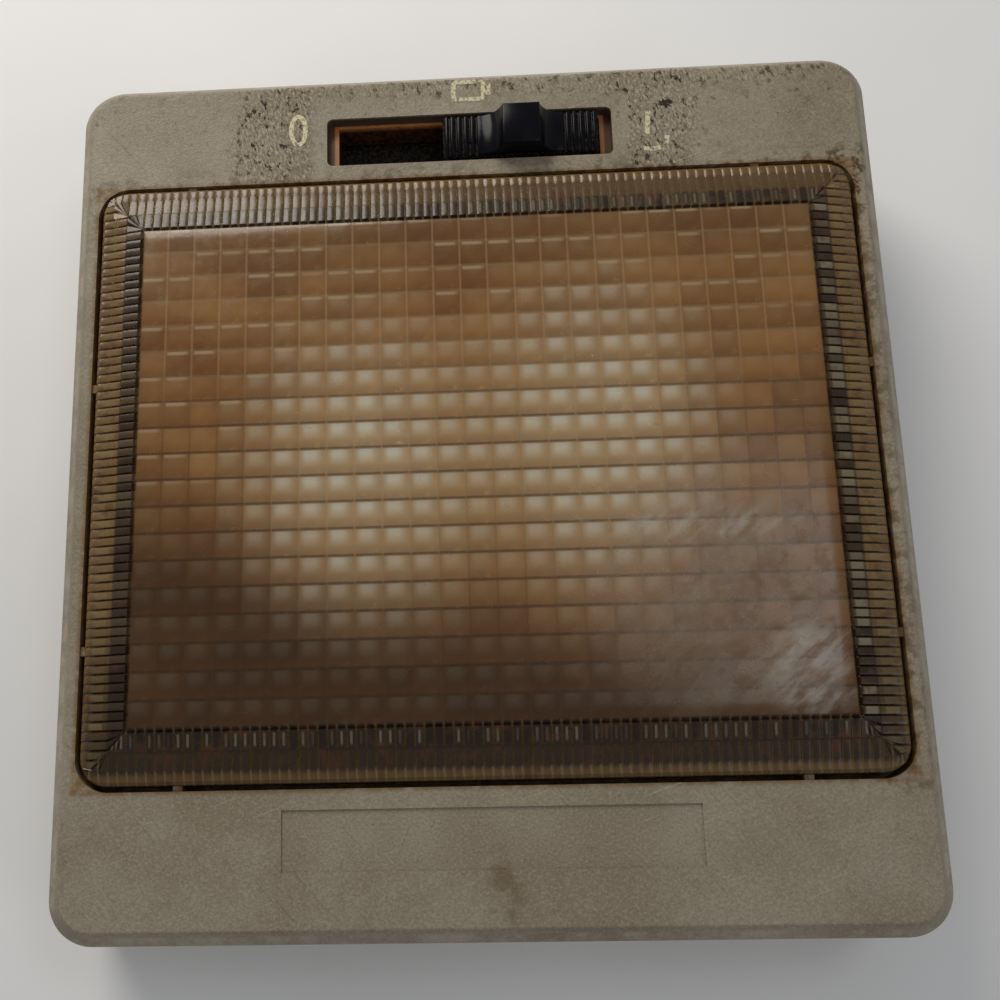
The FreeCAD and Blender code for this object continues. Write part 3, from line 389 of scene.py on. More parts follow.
def housing_finish(look):
    """Fine grained grey moulding, with specks, grime beside the marks, a brown line round the lens, painted
    shade down the slot's walls and a patch below the lens that is part stain, part painted shadow.
    """
    f = Finish("housing_grained_grey")
    grain, fine = f.noise(0.45, 2.0), f.noise(0.16, 2.0)
    clouds, blotches = f.noise(30.0, 4.0), f.noise(4.0, 5.0, 0.65)
    top = f.between(f.y, 56.0, 80.0)
    colour = f.mix(f.between(clouds, 0.35, 0.65), look.housing_colour[:], look.housing_aged[:])
    colour = f.mix(f.between(blotches, 0.52, 0.75) * (0.25 + 0.4 * top), colour, paint(104, 90, 68))
    colour = f.mix(f.between(grain, 0.5, 0.66) * 0.16, colour, paint(196, 188, 170))
    colour = f.mix(f.between(grain, 0.46, 0.34) * 0.22, colour, paint(92, 82, 64))
    beside = f.near(-37.0, 68.0, 6.5, 8.5, 0.9) + f.near(35.0, 69.5, 6.5, 10.5, 0.8)
    beside = f.maths("MINIMUM", beside + f.near(18.0, 79.3, 40.0, 1.8, 1.0) * 0.6, 1.0)
    on_face = f.between(f.z, 28.2, 29.8)
    beside = beside * f.between(f.outside(28.0, 5.3, SLOT_Y_MM), 1.4, 3.6) * on_face
    rough_patch = f.noise((0.45, 1.1, 1.0), 5.0, 0.75, 0.25)
    colour = f.mix(f.between(rough_patch, 0.52, 0.6) * beside * 0.6, colour, paint(84, 68, 46))
    colour = f.mix(f.between(rough_patch, 0.47, 0.4) * beside * 0.65, colour, paint(200, 188, 158))
    dabs = f.between(f.noise((1.2, 2.1, 1.6), 5.0, 0.7, 0.3, (4.0, 2.0, 0.0)), 0.565, 0.605)
    colour = f.mix(dabs * (beside * 0.9 + top * on_face * 0.26), colour, paint(44, 31, 16))
    smudges = f.between(f.noise(2.3, 3.0, 0.6, 0.0, (9.0, 4.0, 0.0)), 0.62, 0.72) * top * on_face
    colour = f.mix(smudges * 0.7, colour, paint(72, 54, 32))
    specks = f.between(f.noise(0.75, 3.0, 0.6), 0.68, 0.71)
    patches = f.between(f.noise(11.0, 2.0), 0.5, 0.66)
    colour = f.mix(specks * (patches * 0.6 + top * 0.4), colour, paint(46, 35, 22))
    colour = lens_stain(f, colour)
    # Stain and painted shadow: a brown patch low on the face, below the lens.
    stain = f.near(2.0, -74.5, 1.6, 3.6, 1.6) * f.between(blotches, 0.42, 0.62)
    colour = f.mix(stain * 0.5, colour, paint(96, 74, 42))
    light = f.scratches(16.0, 0.16, 0.35, 0.71) + f.scratches(9.0, 0.13, -0.9, 0.72, (5.0, 3.0, 0.0))
    dark = f.scratches(22.0, 0.15, 2.3, 0.72) + f.scratches(6.0, 0.2, 1.2, 0.73, (3.0, 8.0, 0.0))
    colour = f.mix(f.maths("MINIMUM", light, 1.0) * 0.4, colour, paint(205, 198, 180))
    colour = f.mix(f.maths("MINIMUM", dark, 1.0) * 0.5, colour, paint(70, 60, 44))
    corners = f.between(f.maths("MAXIMUM", abs(f.x) - 74.8, abs(f.y) - 80.8), -0.4, 0.6)
    rubbed = corners * f.between(f.z, 26.5, 29.0)
    colour = f.mix(rubbed * f.between(blotches, 0.4, 0.62) * 0.4, colour, paint(190, 182, 164))
    # Painted shade: the housing's walls down inside the slot are coloured dark brown.
    slot_shade = f.between(f.outside(27.6, 5.1, SLOT_Y_MM), 0.5, 0.0)
    colour = f.mix(slot_shade * f.between(f.z, 29.9, 29.3) * 0.85, colour, paint(52, 36, 24))
    roughness = 0.46 + 0.16 * grain - 0.1 * rubbed + 0.25 * beside
    height = grain * 0.09 + fine * 0.02 + blotches * 0.03 - dark * 0.03 + rough_patch * beside * 0.25
    return f.close(colour, roughness, height, Specular_IOR_Level=0.4)


def lens_stain(f, colour):
    """Brown dirt where the lens meets the housing, thicker along the top and the right."""
    away = f.outside(72.1, 57.9, LENS_Y_MM)
    heavier = f.between(f.y, 40.0, 58.0) * 0.6 + f.between(f.x, 55.0, 72.0) * 0.6
    ragged = f.noise(2.2, 4.0, 0.65)
    line = f.between(away, 1.1, 0.1) * f.between(ragged, 0.3, 0.55)
    wash = f.between(away, 4.5, 0.4) * f.between(ragged, 0.48, 0.62) * heavier
    colour = f.mix(line * 0.85, colour, paint(118, 86, 42))
    colour = f.mix(wash * 0.9, colour, paint(70, 48, 24))
    well = f.between(f.z, 29.6, 27.5) * f.between(f.z, 20.0, 22.0) * f.between(away, 1.5, 0.0)
    return f.mix(well, colour, f.mix(f.between(ragged, 0.4, 0.6), paint(122, 92, 50), paint(84, 60, 32)))


def lens_finish(look):
    """Aged amber moulding with stains and a scuffed corner, and painted light: paler over the bulbs' troughs
    and across the middle, painted shade towards the bottom and in each prism's lower half, painted highlights
    and shaded lines on the prisms' edges, and a painted glare reflection by the scuffed corner.
    """
    f = Finish("lens_aged_amber")
    clouds, ragged = f.noise(22.0, 4.0), f.noise(3.0, 5.0, 0.65)
    across, up = f.x / PRISM_MM + 0.5, (f.y - LENS_Y_MM) / PRISM_MM + 0.5
    u, v = f.maths("FRACT", across), f.maths("FRACT", up)
    middle_x, middle_y = f.maths("FLOOR", across) * PRISM_MM, f.maths("FLOOR", up) * PRISM_MM + LENS_Y_MM
    uneven = cell_shade(f, middle_x, middle_y)
    # Painted light: prisms over the bulbs' troughs are paler, as if lit through from the reflector.
    lit = pale_patch(f, middle_x, middle_y, -21.0, 0.0, 18.0, 23.0)
    lit = f.maths("MINIMUM", lit + pale_patch(f, middle_x, middle_y, 21.0, 5.0, 18.0, 24.0), 1.0)
    shade = f.between(f.x * 0.3 - f.y * 0.7 + (uneven - 0.5) * 16.0, -8.0, 52.0)
    colour = f.mix(f.between(clouds, 0.36, 0.64), look.lens_colour[:], look.lens_aged[:])
    colour = f.mix(f.between(uneven, 0.45, 0.7) * 0.3, colour, look.lens_deep[:])
    colour = f.mix(f.between(f.y, 30.0, 52.0) * 0.45, colour, paint(112, 80, 54))
    colour = f.mix(shade * 0.6, colour, look.lens_deep[:])
    # Painted shadow: darker towards the bottom.
    colour = f.mix(f.between(f.y + 0.3 * f.x, -12.0, -40.0) * 0.8, colour, paint(66, 42, 16))
    # Painted light: a paler wash across the middle.
    middle = pale_patch(f, middle_x, middle_y, 0.0, 0.0, 38.0, 26.0)
    colour = f.mix(middle * 0.5, colour, paint(206, 160, 104))
    colour = f.mix(lit * (0.55 + 0.2 * uneven), colour, paint(240, 212, 164))
    # Painted shade: the lower half of each prism is darker.
    colour = f.mix(f.between(v, 0.5, 0.08) * 0.3, colour, look.lens_deep[:])
    # Painted highlight: a bright spot in the upper middle of each prism, strongest over the bulbs.
    cell_highlight = f.between(v, 0.28, 0.8) * f.between(v, 1.0, 0.9)
    cell_highlight = cell_highlight * f.between(u, 0.0, 0.3) * f.between(u, 0.95, 0.5)
    colour = f.mix(cell_highlight * (0.05 + (0.68 + 0.27 * uneven) * lit), colour, paint(255, 250, 228))
    # Painted shade and highlight on the prisms' top and bottom edges: dark lines lower down, pale lines near
    # the top.
    low_line = f.between(f.maths("MINIMUM", v, 1.0 - v), 0.085, 0.02)
    colour = f.mix(low_line * f.between(f.y, 30.0, 8.0) * 0.62, colour, paint(74, 54, 32))
    colour = f.mix(low_line * f.between(f.y, 8.0, 30.0) * 0.3, colour, paint(190, 168, 130))
    # Painted light on the prisms' side edges: pale over the troughs and near the top, darker elsewhere.
    side_line = f.between(f.maths("MINIMUM", u, 1.0 - u), 0.06, 0.015)
    pale_side = f.maths("MAXIMUM", lit, f.between(f.y, 4.0, 26.0))
    colour = f.mix(side_line * 0.35, colour, f.mix(pale_side, paint(104, 74, 44), paint(222, 190, 146)))
    # Painted highlight: a thin pale strip along the top edge of each prism, in the upper part away from the
    # troughs.
    strip = f.between(v, 0.78, 0.88) * f.between(v, 0.98, 0.93)
    strip = strip * f.between(u, 0.03, 0.14) * f.between(u, 0.99, 0.7)
    above = f.between(f.y - 0.3 * f.x, 0.0, 30.0) * (1.0 - lit)
    colour = f.mix(strip * above * f.between(uneven, 0.15, 0.8) * 0.62, colour, paint(240, 212, 168))
    inside_panel = f.between(f.outside(62.2, 47.2, LENS_Y_MM), 0.3, -0.3)
    strokes = (f.scratches(14.0, 0.22, 0.9, 0.66) + f.scratches(10.0, 0.2, 0.2, 0.67, (4.0, 1.0, 0.0))
               + f.scratches(18.0, 0.25, 2.6, 0.69, (2.0, 7.0, 0.0)))
    strokes = f.maths("MINIMUM", strokes, 1.0)
    corner = f.near(40.0, -24.0, 8.0, 9.0, 2.4)
    haze = corner * f.between(f.noise((17.0, 4.5, 6.0), 3.0, 0.55, 0.7), 0.42, 0.62)
    # Painted reflection: pale glare spots and a streak near the scuffed corner.
    glare = f.near(55.0, -38.0, 3.5, 4.0, 2.2) + f.near(38.0, -12.0, 9.0, 1.6, 1.8) * 0.8
    glare = f.maths("MINIMUM", glare, 1.0) * f.between(f.noise((8.0, 2.6, 3.0), 4.0, 0.65, 0.7), 0.4, 0.66)
    colour = f.mix(corner * 0.22 + haze * 0.3, colour, paint(168, 150, 120))
    colour = f.mix(strokes * (0.06 + corner * 0.22), colour, paint(214, 202, 174))
    colour = f.mix(glare * 0.5, colour, paint(226, 222, 208))
    colour = f.mix(inside_panel, rim_colour(f, look, ragged), colour)
    stains = f.between(ragged, 0.62, 0.74)
    colour = f.mix(stains * 0.25, colour, paint(104, 60, 24))
    roughness = 0.17 + 0.12 * f.between(ragged, 0.45, 0.7) + 0.1 * corner + 0.08 * (1.0 - inside_panel)
    wavy = f.noise((17.0, 5.0, 8.0), 1.0, 0.4, 0.55)
    height = wavy * (corner * 0.1 + 0.04) - strokes * 0.004 * (corner + 0.3)
    return f.close(colour, roughness, height, Transmission_Weight=look.lens_clear, IOR=1.49,
                   Specular_IOR_Level=0.25)


def cell_shade(f, x, y):
    """A number that differs from prism to prism."""
    made = f.node("ShaderNodeTexWhiteNoise", {"noise_dimensions": "3D"}, {0: f.vector(x, y, 0.0)})
    return Signal(f, made.outputs[0])


def pale_patch(f, x, y, centre_x, centre_y, wide, tall):
    """1 for prisms over a bulb's trough, fading outwards prism by prism."""
    across, up = (x - centre_x) / wide, (y - centre_y) / tall
    return f.between(f.maths("SQRT", across * across + up * up), 1.7, 0.2)


def rim_colour(f, look, ragged):
    """Brown of the ribbed rim: no two ribs quite alike, darker along the inner band, with painted shade on
    the top and bottom sides and towards the bottom, painted glints on the ribs, a painted golden highlight on
    the lip, and grooves painted pale on the top and bottom sides but dark on the ends.
    """
    over_x, over_y = abs(f.x) - 62.5, abs(f.y - LENS_Y_MM) - 47.5
    away = f.maths("MAXIMUM", over_x, over_y)
    on_end = over_x > over_y
    along = f.x + on_end * (f.y - LENS_Y_MM - f.x)
    count = along / RIB_MM + 0.5
    groove = f.between(abs(f.maths("FRACT", count - 0.5) - 0.5), 0.16, 0.05)
    own = cell_shade(f, f.maths("FLOOR", count), f.between(away, 4.0, 4.1) + on_end * 2.0)
    band = f.mix(f.between(own, 0.2, 1.0) * 0.55, paint(74, 52, 30), paint(152, 132, 98))
    outer = f.mix(f.between(own, 0.3, 1.0) * 0.4, look.lens_rim[:], paint(186, 156, 108))
    # Painted shade: the top and bottom sides of the rim are darker than its ends.
    outer = f.mix((1.0 - on_end) * 0.6, outer, paint(72, 50, 26))
    band = f.mix((1.0 - on_end) * 0.5, band, paint(50, 34, 18))
    colour = f.mix(f.between(away, 3.2, 3.9), band, outer)
    # Painted shadow: darker towards the bottom.
    colour = f.mix(f.between(f.y, -10.0, -52.0) * 0.75, colour, paint(46, 28, 12))
    # Painted highlight: a golden line along the lip's rounded edge.
    colour = f.mix(f.between(away, 7.0, 8.2) * 0.5, colour, paint(176, 134, 72))
    centred = abs(f.maths("FRACT", count) - 0.5)
    # Painted glints: pale facets on the end ribs, most on the right, and pale strokes on the top and bottom
    # ribs, in the inner band.
    inner_band = f.between(away, 0.7, 1.1) * f.between(away, 3.4, 2.8)
    facet_glint = on_end * f.between(centred, 0.42, 0.34) * f.between(own, 0.1, 0.8) * f.between(f.x, -64.0, 60.0)
    stroke = (1.0 - on_end) * f.between(centred, 0.17, 0.08) * f.between(own, 0.25, 0.7) * 0.8
    colour = f.mix(inner_band * (facet_glint + stroke) * 0.55, colour, paint(198, 184, 150))
    # Painted highlight: lighter middles on some ribs of the ends' outer band.
    outer_band = f.between(away, 4.3, 4.7) * f.between(away, 7.4, 6.8) * on_end
    colour = f.mix(outer_band * f.between(centred, 0.36, 0.28) * own * 0.5, colour, paint(186, 160, 112))
    colour = f.mix(f.between(ragged, 0.5, 0.68) * 0.6, colour, paint(112, 62, 28))
    # Painted light: grooves pale on the top and bottom sides, dark on the ends.
    line = f.mix(on_end, paint(172, 148, 104), paint(36, 24, 12))
    return f.mix(groove * f.between(f.z, 27.0, 30.4) * (0.45 + 0.35 * on_end), colour, line)


def reflector_finish():
    """White moulding with soft flow marks, rubbed spots and settled dust."""
    f = Finish("reflector_gloss_white")
    clouds, spots, fine = f.noise(9.0, 4.0), f.noise(1.1, 4.0, 0.65), f.noise(0.22, 2.0)
    colour = f.mix(f.between(clouds, 0.38, 0.66) * 0.6, paint(228, 224, 210), paint(206, 196, 170))
    dust = f.between(spots, 0.5, 0.68) * 0.25
    colour = f.mix(dust, colour, paint(170, 150, 116))
    rubbed = f.scratches(5.0, 0.09, 0.6, 0.69)
    roughness = 0.24 + 0.12 * clouds + 0.35 * dust + 0.15 * rubbed
    return f.close(colour, roughness, fine * 0.01 + spots * 0.02 - rubbed * 0.01)


def metal_finish(name, bright, dull, gloss, dull_share):
    """Plated or bare sheet metal with rolling lines, stain and dull spots."""
    f = Finish(name)
    clouds, spots = f.noise(3.5, 4.0, 0.6), f.noise(0.7, 3.0)
    rolled = f.noise((6.0, 0.05, 0.05), 2.0, 0.5, 0.1)
    stain = f.between(clouds, 0.62 - 0.25 * dull_share, 0.78 - 0.2 * dull_share)
    colour = f.mix(stain * 0.85, bright, dull)
    colour = f.mix(f.between(spots, 0.66, 0.72) * 0.6, colour, dull)
    roughness = gloss + 0.14 * rolled + 0.3 * stain
    return f.close(colour, roughness, rolled * 0.006 + spots * 0.01, Metallic=1.0 - 0.35 * stain)


def frame_finish():
    """Amber brown moulding, clean on its upper ledge, with painted shade: near black further down and a dark
    brown line along its outer edge.
    """
    f = Finish("frame_amber_brown")
    spots, clouds = f.noise(1.0, 4.0, 0.65), f.noise(6.0, 3.0)
    ledge = f.between(f.z, 26.2, 27.4)
    colour = f.mix(f.between(clouds, 0.4, 0.65) * 0.5, paint(182, 118, 66), paint(150, 92, 48))
    # Painted shade: the frame below its ledge turns near black, mottled.
    colour = f.mix((1.0 - ledge) * (0.8 + 0.2 * f.between(spots, 0.4, 0.6)), colour, paint(22, 14, 9))
    colour = f.mix(f.between(spots, 0.55, 0.68) * 0.5, colour, paint(70, 46, 26))
    # Painted shadow: a dark brown line along the frame's outer edge, where the slot's wall shades it.
    colour = f.mix(f.between(f.outside(26.3, 5.6, SLOT_Y_MM), -0.15, 0.2) * 0.85, colour, paint(48, 30, 18))
    return f.close(colour, 0.32 + 0.2 * spots, spots * 0.02)


def slider_finish():
    """Black moulding, polished by fingers on the knob, with dust down in the grooves."""
    f = Finish("slider_black")
    clouds, spots, fine = f.noise(5.0, 4.0), f.noise(0.6, 4.0, 0.65), f.noise(0.2, 2.0)
    grooves = f.between(f.z, 30.3, 29.95) * f.between(spots, 0.42, 0.6)
    low = f.between(f.z, 26.0, 21.5)
    black, rubbed = (0.002, 0.002, 0.004, 1.0), (0.005, 0.005, 0.009, 1.0)
    colour = f.mix(f.between(clouds, 0.4, 0.7) * 0.5, black, rubbed)
    colour = f.mix(grooves * 0.3, colour, paint(92, 80, 60))
    dusty = low * f.between(f.noise(2.4, 4.0, 0.7), 0.5, 0.66)
    colour = f.mix(dusty * 0.16, colour, paint(88, 68, 40))
    roughness = 0.12 + 0.14 * clouds + 0.4 * grooves + 0.35 * low
    return f.close(colour, roughness, fine * 0.004 + spots * 0.01, Specular_IOR_Level=0.12)


def laminate_finish():
    """Brown paper laminate with a faint layered grain."""
    f = Finish("board_brown_laminate")
    fibres = f.noise((3.2, 0.14, 0.14), 3.0, 0.6, 0.05)
    clouds = f.noise(7.0, 3.0)
    layers = f.maths("SINE", f.z * 38.0)
    colour = f.mix(f.between(fibres, 0.35, 0.7), paint(92, 55, 30), paint(128, 80, 46))
    colour = f.mix(f.between(clouds, 0.5, 0.75) * 0.5, colour, paint(66, 40, 24))
    return f.close(colour, 0.42 + 0.2 * fibres, fibres * 0.01 + layers * 0.004)


def glass_finish():
    """Thin clear bulb glass with a faint grey bloom at the ends."""
    f = Finish("bulb_clear_glass")
    smoke = f.between(abs(f.y - 5.4), 8.0, 14.0) * f.between(f.noise(3.0, 3.0), 0.35, 0.7)
    colour = f.mix(smoke * 0.5, (0.93, 0.94, 0.93, 1.0), (0.5, 0.48, 0.44, 1.0))
    return f.close(colour, 0.02 + 0.05 * smoke, Transmission_Weight=1.0, IOR=1.46)


def mark_finish():
    """Worn cream paint that lets the grey and the grime through."""
    f = Finish("marks_cream_paint")
    chips = f.between(f.noise(0.6, 4.0, 0.65), 0.52, 0.6)
    rubbed = f.between(f.noise((0.8, 2.0, 1.0), 3.0, 0.6, 0.5), 0.54, 0.62)
    colour = f.mix(chips * 0.75, paint(206, 196, 160), paint(128, 118, 96))
    colour = f.mix(rubbed * 0.7, colour, paint(84, 70, 46))
    return f.close(colour, 0.55 + 0.15 * chips, chips * -0.02)


def floor_finish():
    """Pale matte floor."""
    f = Finish("floor_pale")
    clouds = f.between(f.noise(90.0, 3.0), 0.3, 0.7)
    colour = f.mix(clouds, (0.84, 0.84, 0.84, 1.0), (0.88, 0.88, 0.88, 1.0))
    return f.close(colour, 0.85 + 0.1 * f.noise(2.0), Specular_IOR_Level=0.1)


# ---------------------------------------------------------------- lens shape

def lens_levels(g):
    """The rim's section, from the panel's top round to its inside.

    Each level is its half width, half length, height and share of the ribs' height.
    """
    half_x, half_y = g.size("Half width"), g.size("Half length")
    panel_x, panel_y = g.size("Panel half width"), g.size("Panel half length")
    seat, lip, top = g.size("Seat height"), g.size("Lip height"), g.size("Panel height")
    wall = g.size("Wall")
    rise = top - lip
    # Share of the way out, of the panel's rise and of the ribs' height.
    slope = ((0.03, 0.68, 0.0), (0.06, 0.7, 1.0), (0.38, 0.47, 1.0), (0.41, 0.34, 1.0), (0.72, 0.12, 1.0),
             (0.78, 0.07, 0.5), (0.93, 0.0, 0.25))
    levels = [(panel_x - PANEL_EDGE, panel_y - PANEL_EDGE, top, 0.0),
              (panel_x - 0.3 * MM, panel_y - 0.3 * MM, top - 0.12 * MM, 0.0),
              (panel_x, panel_y, lip + rise * 0.8, 0.0)]
    for share, up, rib in slope:
        levels.append((panel_x + (half_x - panel_x) * share, panel_y + (half_y - panel_y) * share,
                       lip + rise * up, rib))
    levels += [(half_x - 0.12 * MM, half_y - 0.12 * MM, lip - 0.4 * MM, 0.0),
               (half_x, half_y, lip - 0.9 * MM, 0.0),
               (half_x, half_y, seat, 0.0),
               (half_x - wall, half_y - wall, seat, 0.0),
               (half_x - wall, half_y - wall, lip - 2.2 * MM, 0.0),
               (panel_x, panel_y, lip, 0.0)]
    return levels


def lens_strip(g, levels, ribs, sheet_counts, on_end):
    """One side of the rim and its twin. Columns follow the ribs, and both ends stop on the mitres."""
    last = len(levels) - 1
    mesh, column, row = g.sheet(ribs * RIB_STEPS + 1, len(levels))
    pitch = g.size("Rib pitch")
    rib, part = g.maths("FLOOR", column / RIB_STEPS), g.maths("MODULO", column, RIB_STEPS)
    groove = g.size("Groove width") / 2.0
    start = Signal(g, g.pick(part, (0.0, groove, pitch / 2.0, pitch - groove)))
    crown = Signal(g, g.pick(part, (0.0, 0.72, 1.0, 0.72)))
    along = (rib - ribs / 2) * pitch + start
    table = g.pick(row, [g.vector(*level[:3]) for level in levels], "VECTOR")
    level_x, level_y, level_z = g.apart(table)
    reach, across = (level_y, level_x) if on_end else (level_x, level_y)
    held = g.maths("MINIMUM", g.maths("MAXIMUM", along, reach * -1.0), reach)
    first, final = 1.0 - (row > 0.5), row > last - 0.5
    steps = first * sheet_counts[0] + final * sheet_counts[1] + (1.0 - first - final)
    snapped = g.maths("ROUND", held / reach * steps / 2.0) / (steps / 2.0) * reach
    held = held + (first + final) * (snapped - held)
    share = Signal(g, g.pick(row, [level[3] for level in levels]))
    clear_of_mitre = (reach - abs(along)) > MERGE / 2
    height = level_z + g.size("Rib height") * crown * share * clear_of_mitre
    height = height - final * 0.5 * g.size("Prism depth") * (1.0 - cell_square(g, held))
    spot = g.vector(across, held * -1.0, height) if on_end else g.vector(held, across, height)
    shaped = g.moved(mesh, spot)
    back = g.node("GeometryNodeTransform", {}, {"Geometry": shaped, "Rotation": (0.0, 0.0, math.pi)})
    return [shaped, back.outputs[0]]


def cell_square(g, along):
    """Square of the place across a prism, 0 at its middle and 1 at its edges."""
    place = g.maths("FRACT", along / g.size("Cell") + 0.5) * 2.0 - 1.0
    return place * place


def lens_sheets(g, steps, top_counts):
    """The smooth outer panel and, under it, the inside with one pillow prism in each cell."""
    panel_x, panel_y = g.size("Panel half width"), g.size("Panel half length")
    top, column, row = g.sheet(top_counts[0] + 1, top_counts[1] + 1)
    x = (column / (top_counts[0] / 2) - 1.0) * (panel_x - PANEL_EDGE)
    y = (row / (top_counts[1] / 2) - 1.0) * (panel_y - PANEL_EDGE)
    outer = g.moved(top, g.vector(x, y, g.size("Panel height")))
    under, column, row = g.sheet(steps[0] + 1, steps[1] + 1)
    x = (column / (steps[0] / 2) - 1.0) * panel_x
    y = (row / (steps[1] / 2) - 1.0) * panel_y
    pillow = 1.0 - (cell_square(g, x) + cell_square(g, y)) * 0.5
    inner = g.moved(under, g.vector(x, y, g.size("Lip height") - g.size("Prism depth") * pillow))
    return [outer, g.node("GeometryNodeFlipFaces", {}, {0: inner}).outputs[0]]


def lens_corners(g, geometry):
    """Rounds the outline's four corners."""
    radius = g.size("Corner radius")
    x, y, z = g.apart(g.node("GeometryNodeInputPosition").outputs[0])
    start_x, start_y = g.size("Half width") - radius, g.size("Half length") - radius
    over_x = g.maths("MAXIMUM", (abs(x) - start_x) / radius, 0.0)
    over_y = g.maths("MAXIMUM", (abs(y) - start_y) / radius, 0.0)
    in_corner = (over_x > 0.0) * (over_y > 0.0)
    new_x = start_x + radius * over_x * g.maths("SQRT", 1.0 - over_y * over_y * 0.5)
    new_y = start_y + radius * over_y * g.maths("SQRT", 1.0 - over_x * over_x * 0.5)
    x = x + in_corner * (new_x * g.maths("SIGN", x) - x)
    y = y + in_corner * (new_y * g.maths("SIGN", y) - y)
    return g.moved(geometry, g.vector(x, y + g.size("Centre"), z))


def lens_cover(sizes, material):
    """The whole lens as one closed mesh."""
    centre = (LENS_LOW + LENS_HIGH) / 2
    half_x, half_y = (LENS_HIGH.x - LENS_LOW.x) / 2, (LENS_HIGH.y - LENS_LOW.y) / 2
    panel_x, panel_y = sizes.cell * sizes.cells_across / 2, sizes.cell * sizes.cells_down / 2
    pitch = sizes.cell / sizes.ribs_per_cell
    g = Growth("lens_cover", {
        "Half width": half_x, "Half length": half_y, "Centre": centre.y,
        "Panel half width": panel_x, "Panel half length": panel_y,
        "Seat height": LENS_LOW.z, "Lip height": LENS_HIGH.z - sizes.panel_rise,
        "Panel height": LENS_HIGH.z, "Wall": sizes.wall, "Corner radius": sizes.corner,
        "Cell": sizes.cell, "Prism depth": sizes.prism_depth,
        "Rib pitch": pitch, "Rib height": sizes.rib_height, "Groove width": sizes.groove_width,
    }, material)
    levels = lens_levels(g)
    counts = (sizes.cells_across, sizes.cells_down)
    steps = [cells * PRISM_STEPS for cells in counts]
    top_counts = [(cells - 1) * PANEL_STEPS for cells in counts]
    parts = lens_sheets(g, steps, top_counts)
    for on_end, half, panel, cells, k in ((False, half_x, panel_x, counts[0], 0),
                                          (True, half_y, panel_y, counts[1], 1)):
        ribs = cells * sizes.ribs_per_cell + 2 * math.ceil((half - panel) / pitch)
        parts += lens_strip(g, levels, ribs, (top_counts[k], steps[k]), on_end)
    merged = g.node("GeometryNodeMergeByDistance", {}, {"Geometry": g.joined(parts), "Distance": MERGE})
    made = g.grown("lens_cover", lens_corners(g, merged.outputs[0]))
    bm = bmesh.new()
    bm.from_mesh(made.data)
    bmesh.ops.dissolve_degenerate(bm, dist=MERGE / 20, edges=bm.edges)
    bmesh.ops.recalc_face_normals(bm, faces=bm.faces)
    bm.to_mesh(made.data)
    bm.free()
    smoothed(made, 24.0)
    return made


# ---------------------------------------------------------------- sizes and colours

class LampLens(bpy.types.PropertyGroup):
    """Sizes of the lens's prisms and ribs."""
    cell: bpy.props.FloatProperty(name="Prism size", description="Side of one square prism", default=0.005,
                                  unit="LENGTH", precision=4)
    cells_across: bpy.props.IntProperty(name="Prisms across", description="Prisms along the width",
                                        default=25)
    cells_down: bpy.props.IntProperty(name="Prisms down", description="Prisms along the length",
                                      default=19)
    prism_depth: bpy.props.FloatProperty(name="Prism depth", description="How far a prism bulges inwards",
                                         default=0.0009, unit="LENGTH", precision=4)
    panel_rise: bpy.props.FloatProperty(name="Panel rise", description="Height of the panel above the lip",
                                        default=0.0022, unit="LENGTH", precision=4)
    wall: bpy.props.FloatProperty(name="Wall", description="Thickness of the skirt", default=0.002,
                                  unit="LENGTH", precision=4)
    corner: bpy.props.FloatProperty(name="Corner radius", description="Radius of the outline's corners",
                                    default=0.005, unit="LENGTH", precision=4)
    ribs_per_cell: bpy.props.IntProperty(name="Ribs per prism", description="Rim ribs in one prism's side",
                                         default=3)
    rib_height: bpy.props.FloatProperty(name="Rib height", description="Height of a rim rib", default=0.0004,
                                        unit="LENGTH", precision=4)
    groove_width: bpy.props.FloatProperty(name="Groove width", description="Width of the groove between ribs",
                                          default=0.00042, unit="LENGTH", precision=5)


class LampLook(bpy.types.PropertyGroup):
    """Colours of the lamp's finishes."""
    housing_colour: bpy.props.FloatVectorProperty(name="Housing", description="Grey of the housing", size=4,
                                                  subtype="COLOR", default=paint(146, 136, 117))
    housing_aged: bpy.props.FloatVectorProperty(name="Aged housing",
                                                description="Yellowed grey of the housing",
                                                size=4, subtype="COLOR", default=paint(132, 120, 100))
    lens_colour: bpy.props.FloatVectorProperty(name="Lens", description="Amber of the lens", size=4,
                                               subtype="COLOR", default=paint(190, 140, 78))
    lens_aged: bpy.props.FloatVectorProperty(name="Aged lens", description="Darker amber of the lens", size=4,
                                             subtype="COLOR", default=paint(166, 112, 56))
    lens_deep: bpy.props.FloatVectorProperty(name="Deep lens", description="Amber of the lens's darker end",
                                             size=4, subtype="COLOR", default=paint(114, 70, 28))
    lens_rim: bpy.props.FloatVectorProperty(name="Lens rim", description="Amber of the ribbed rim", size=4,
                                            subtype="COLOR", default=paint(158, 124, 76))
    lens_clear: bpy.props.FloatProperty(name="Lens clearness", description="Share of light let through clear",
                                        default=0.55, min=0.5, max=1.0, subtype="FACTOR")


class LampBulbs(bpy.types.PropertyGroup):
    """Sizes of the two bulbs' glass and filaments."""
    glass_wall: bpy.props.FloatProperty(name="Glass wall", description="Thickness of the bulb glass",
                                        default=0.0005, unit="LENGTH", precision=4)
    coil_turns: bpy.props.IntProperty(name="Coil turns", description="Turns of each filament", default=26)
    coil_radius: bpy.props.FloatProperty(name="Coil radius", description="Radius of the filament's coil",
                                         default=0.0005, unit="LENGTH", precision=5)
    wire_radius: bpy.props.FloatProperty(name="Wire radius", description="Radius of the filament's wire",
                                         default=0.00009, unit="LENGTH", precision=5)


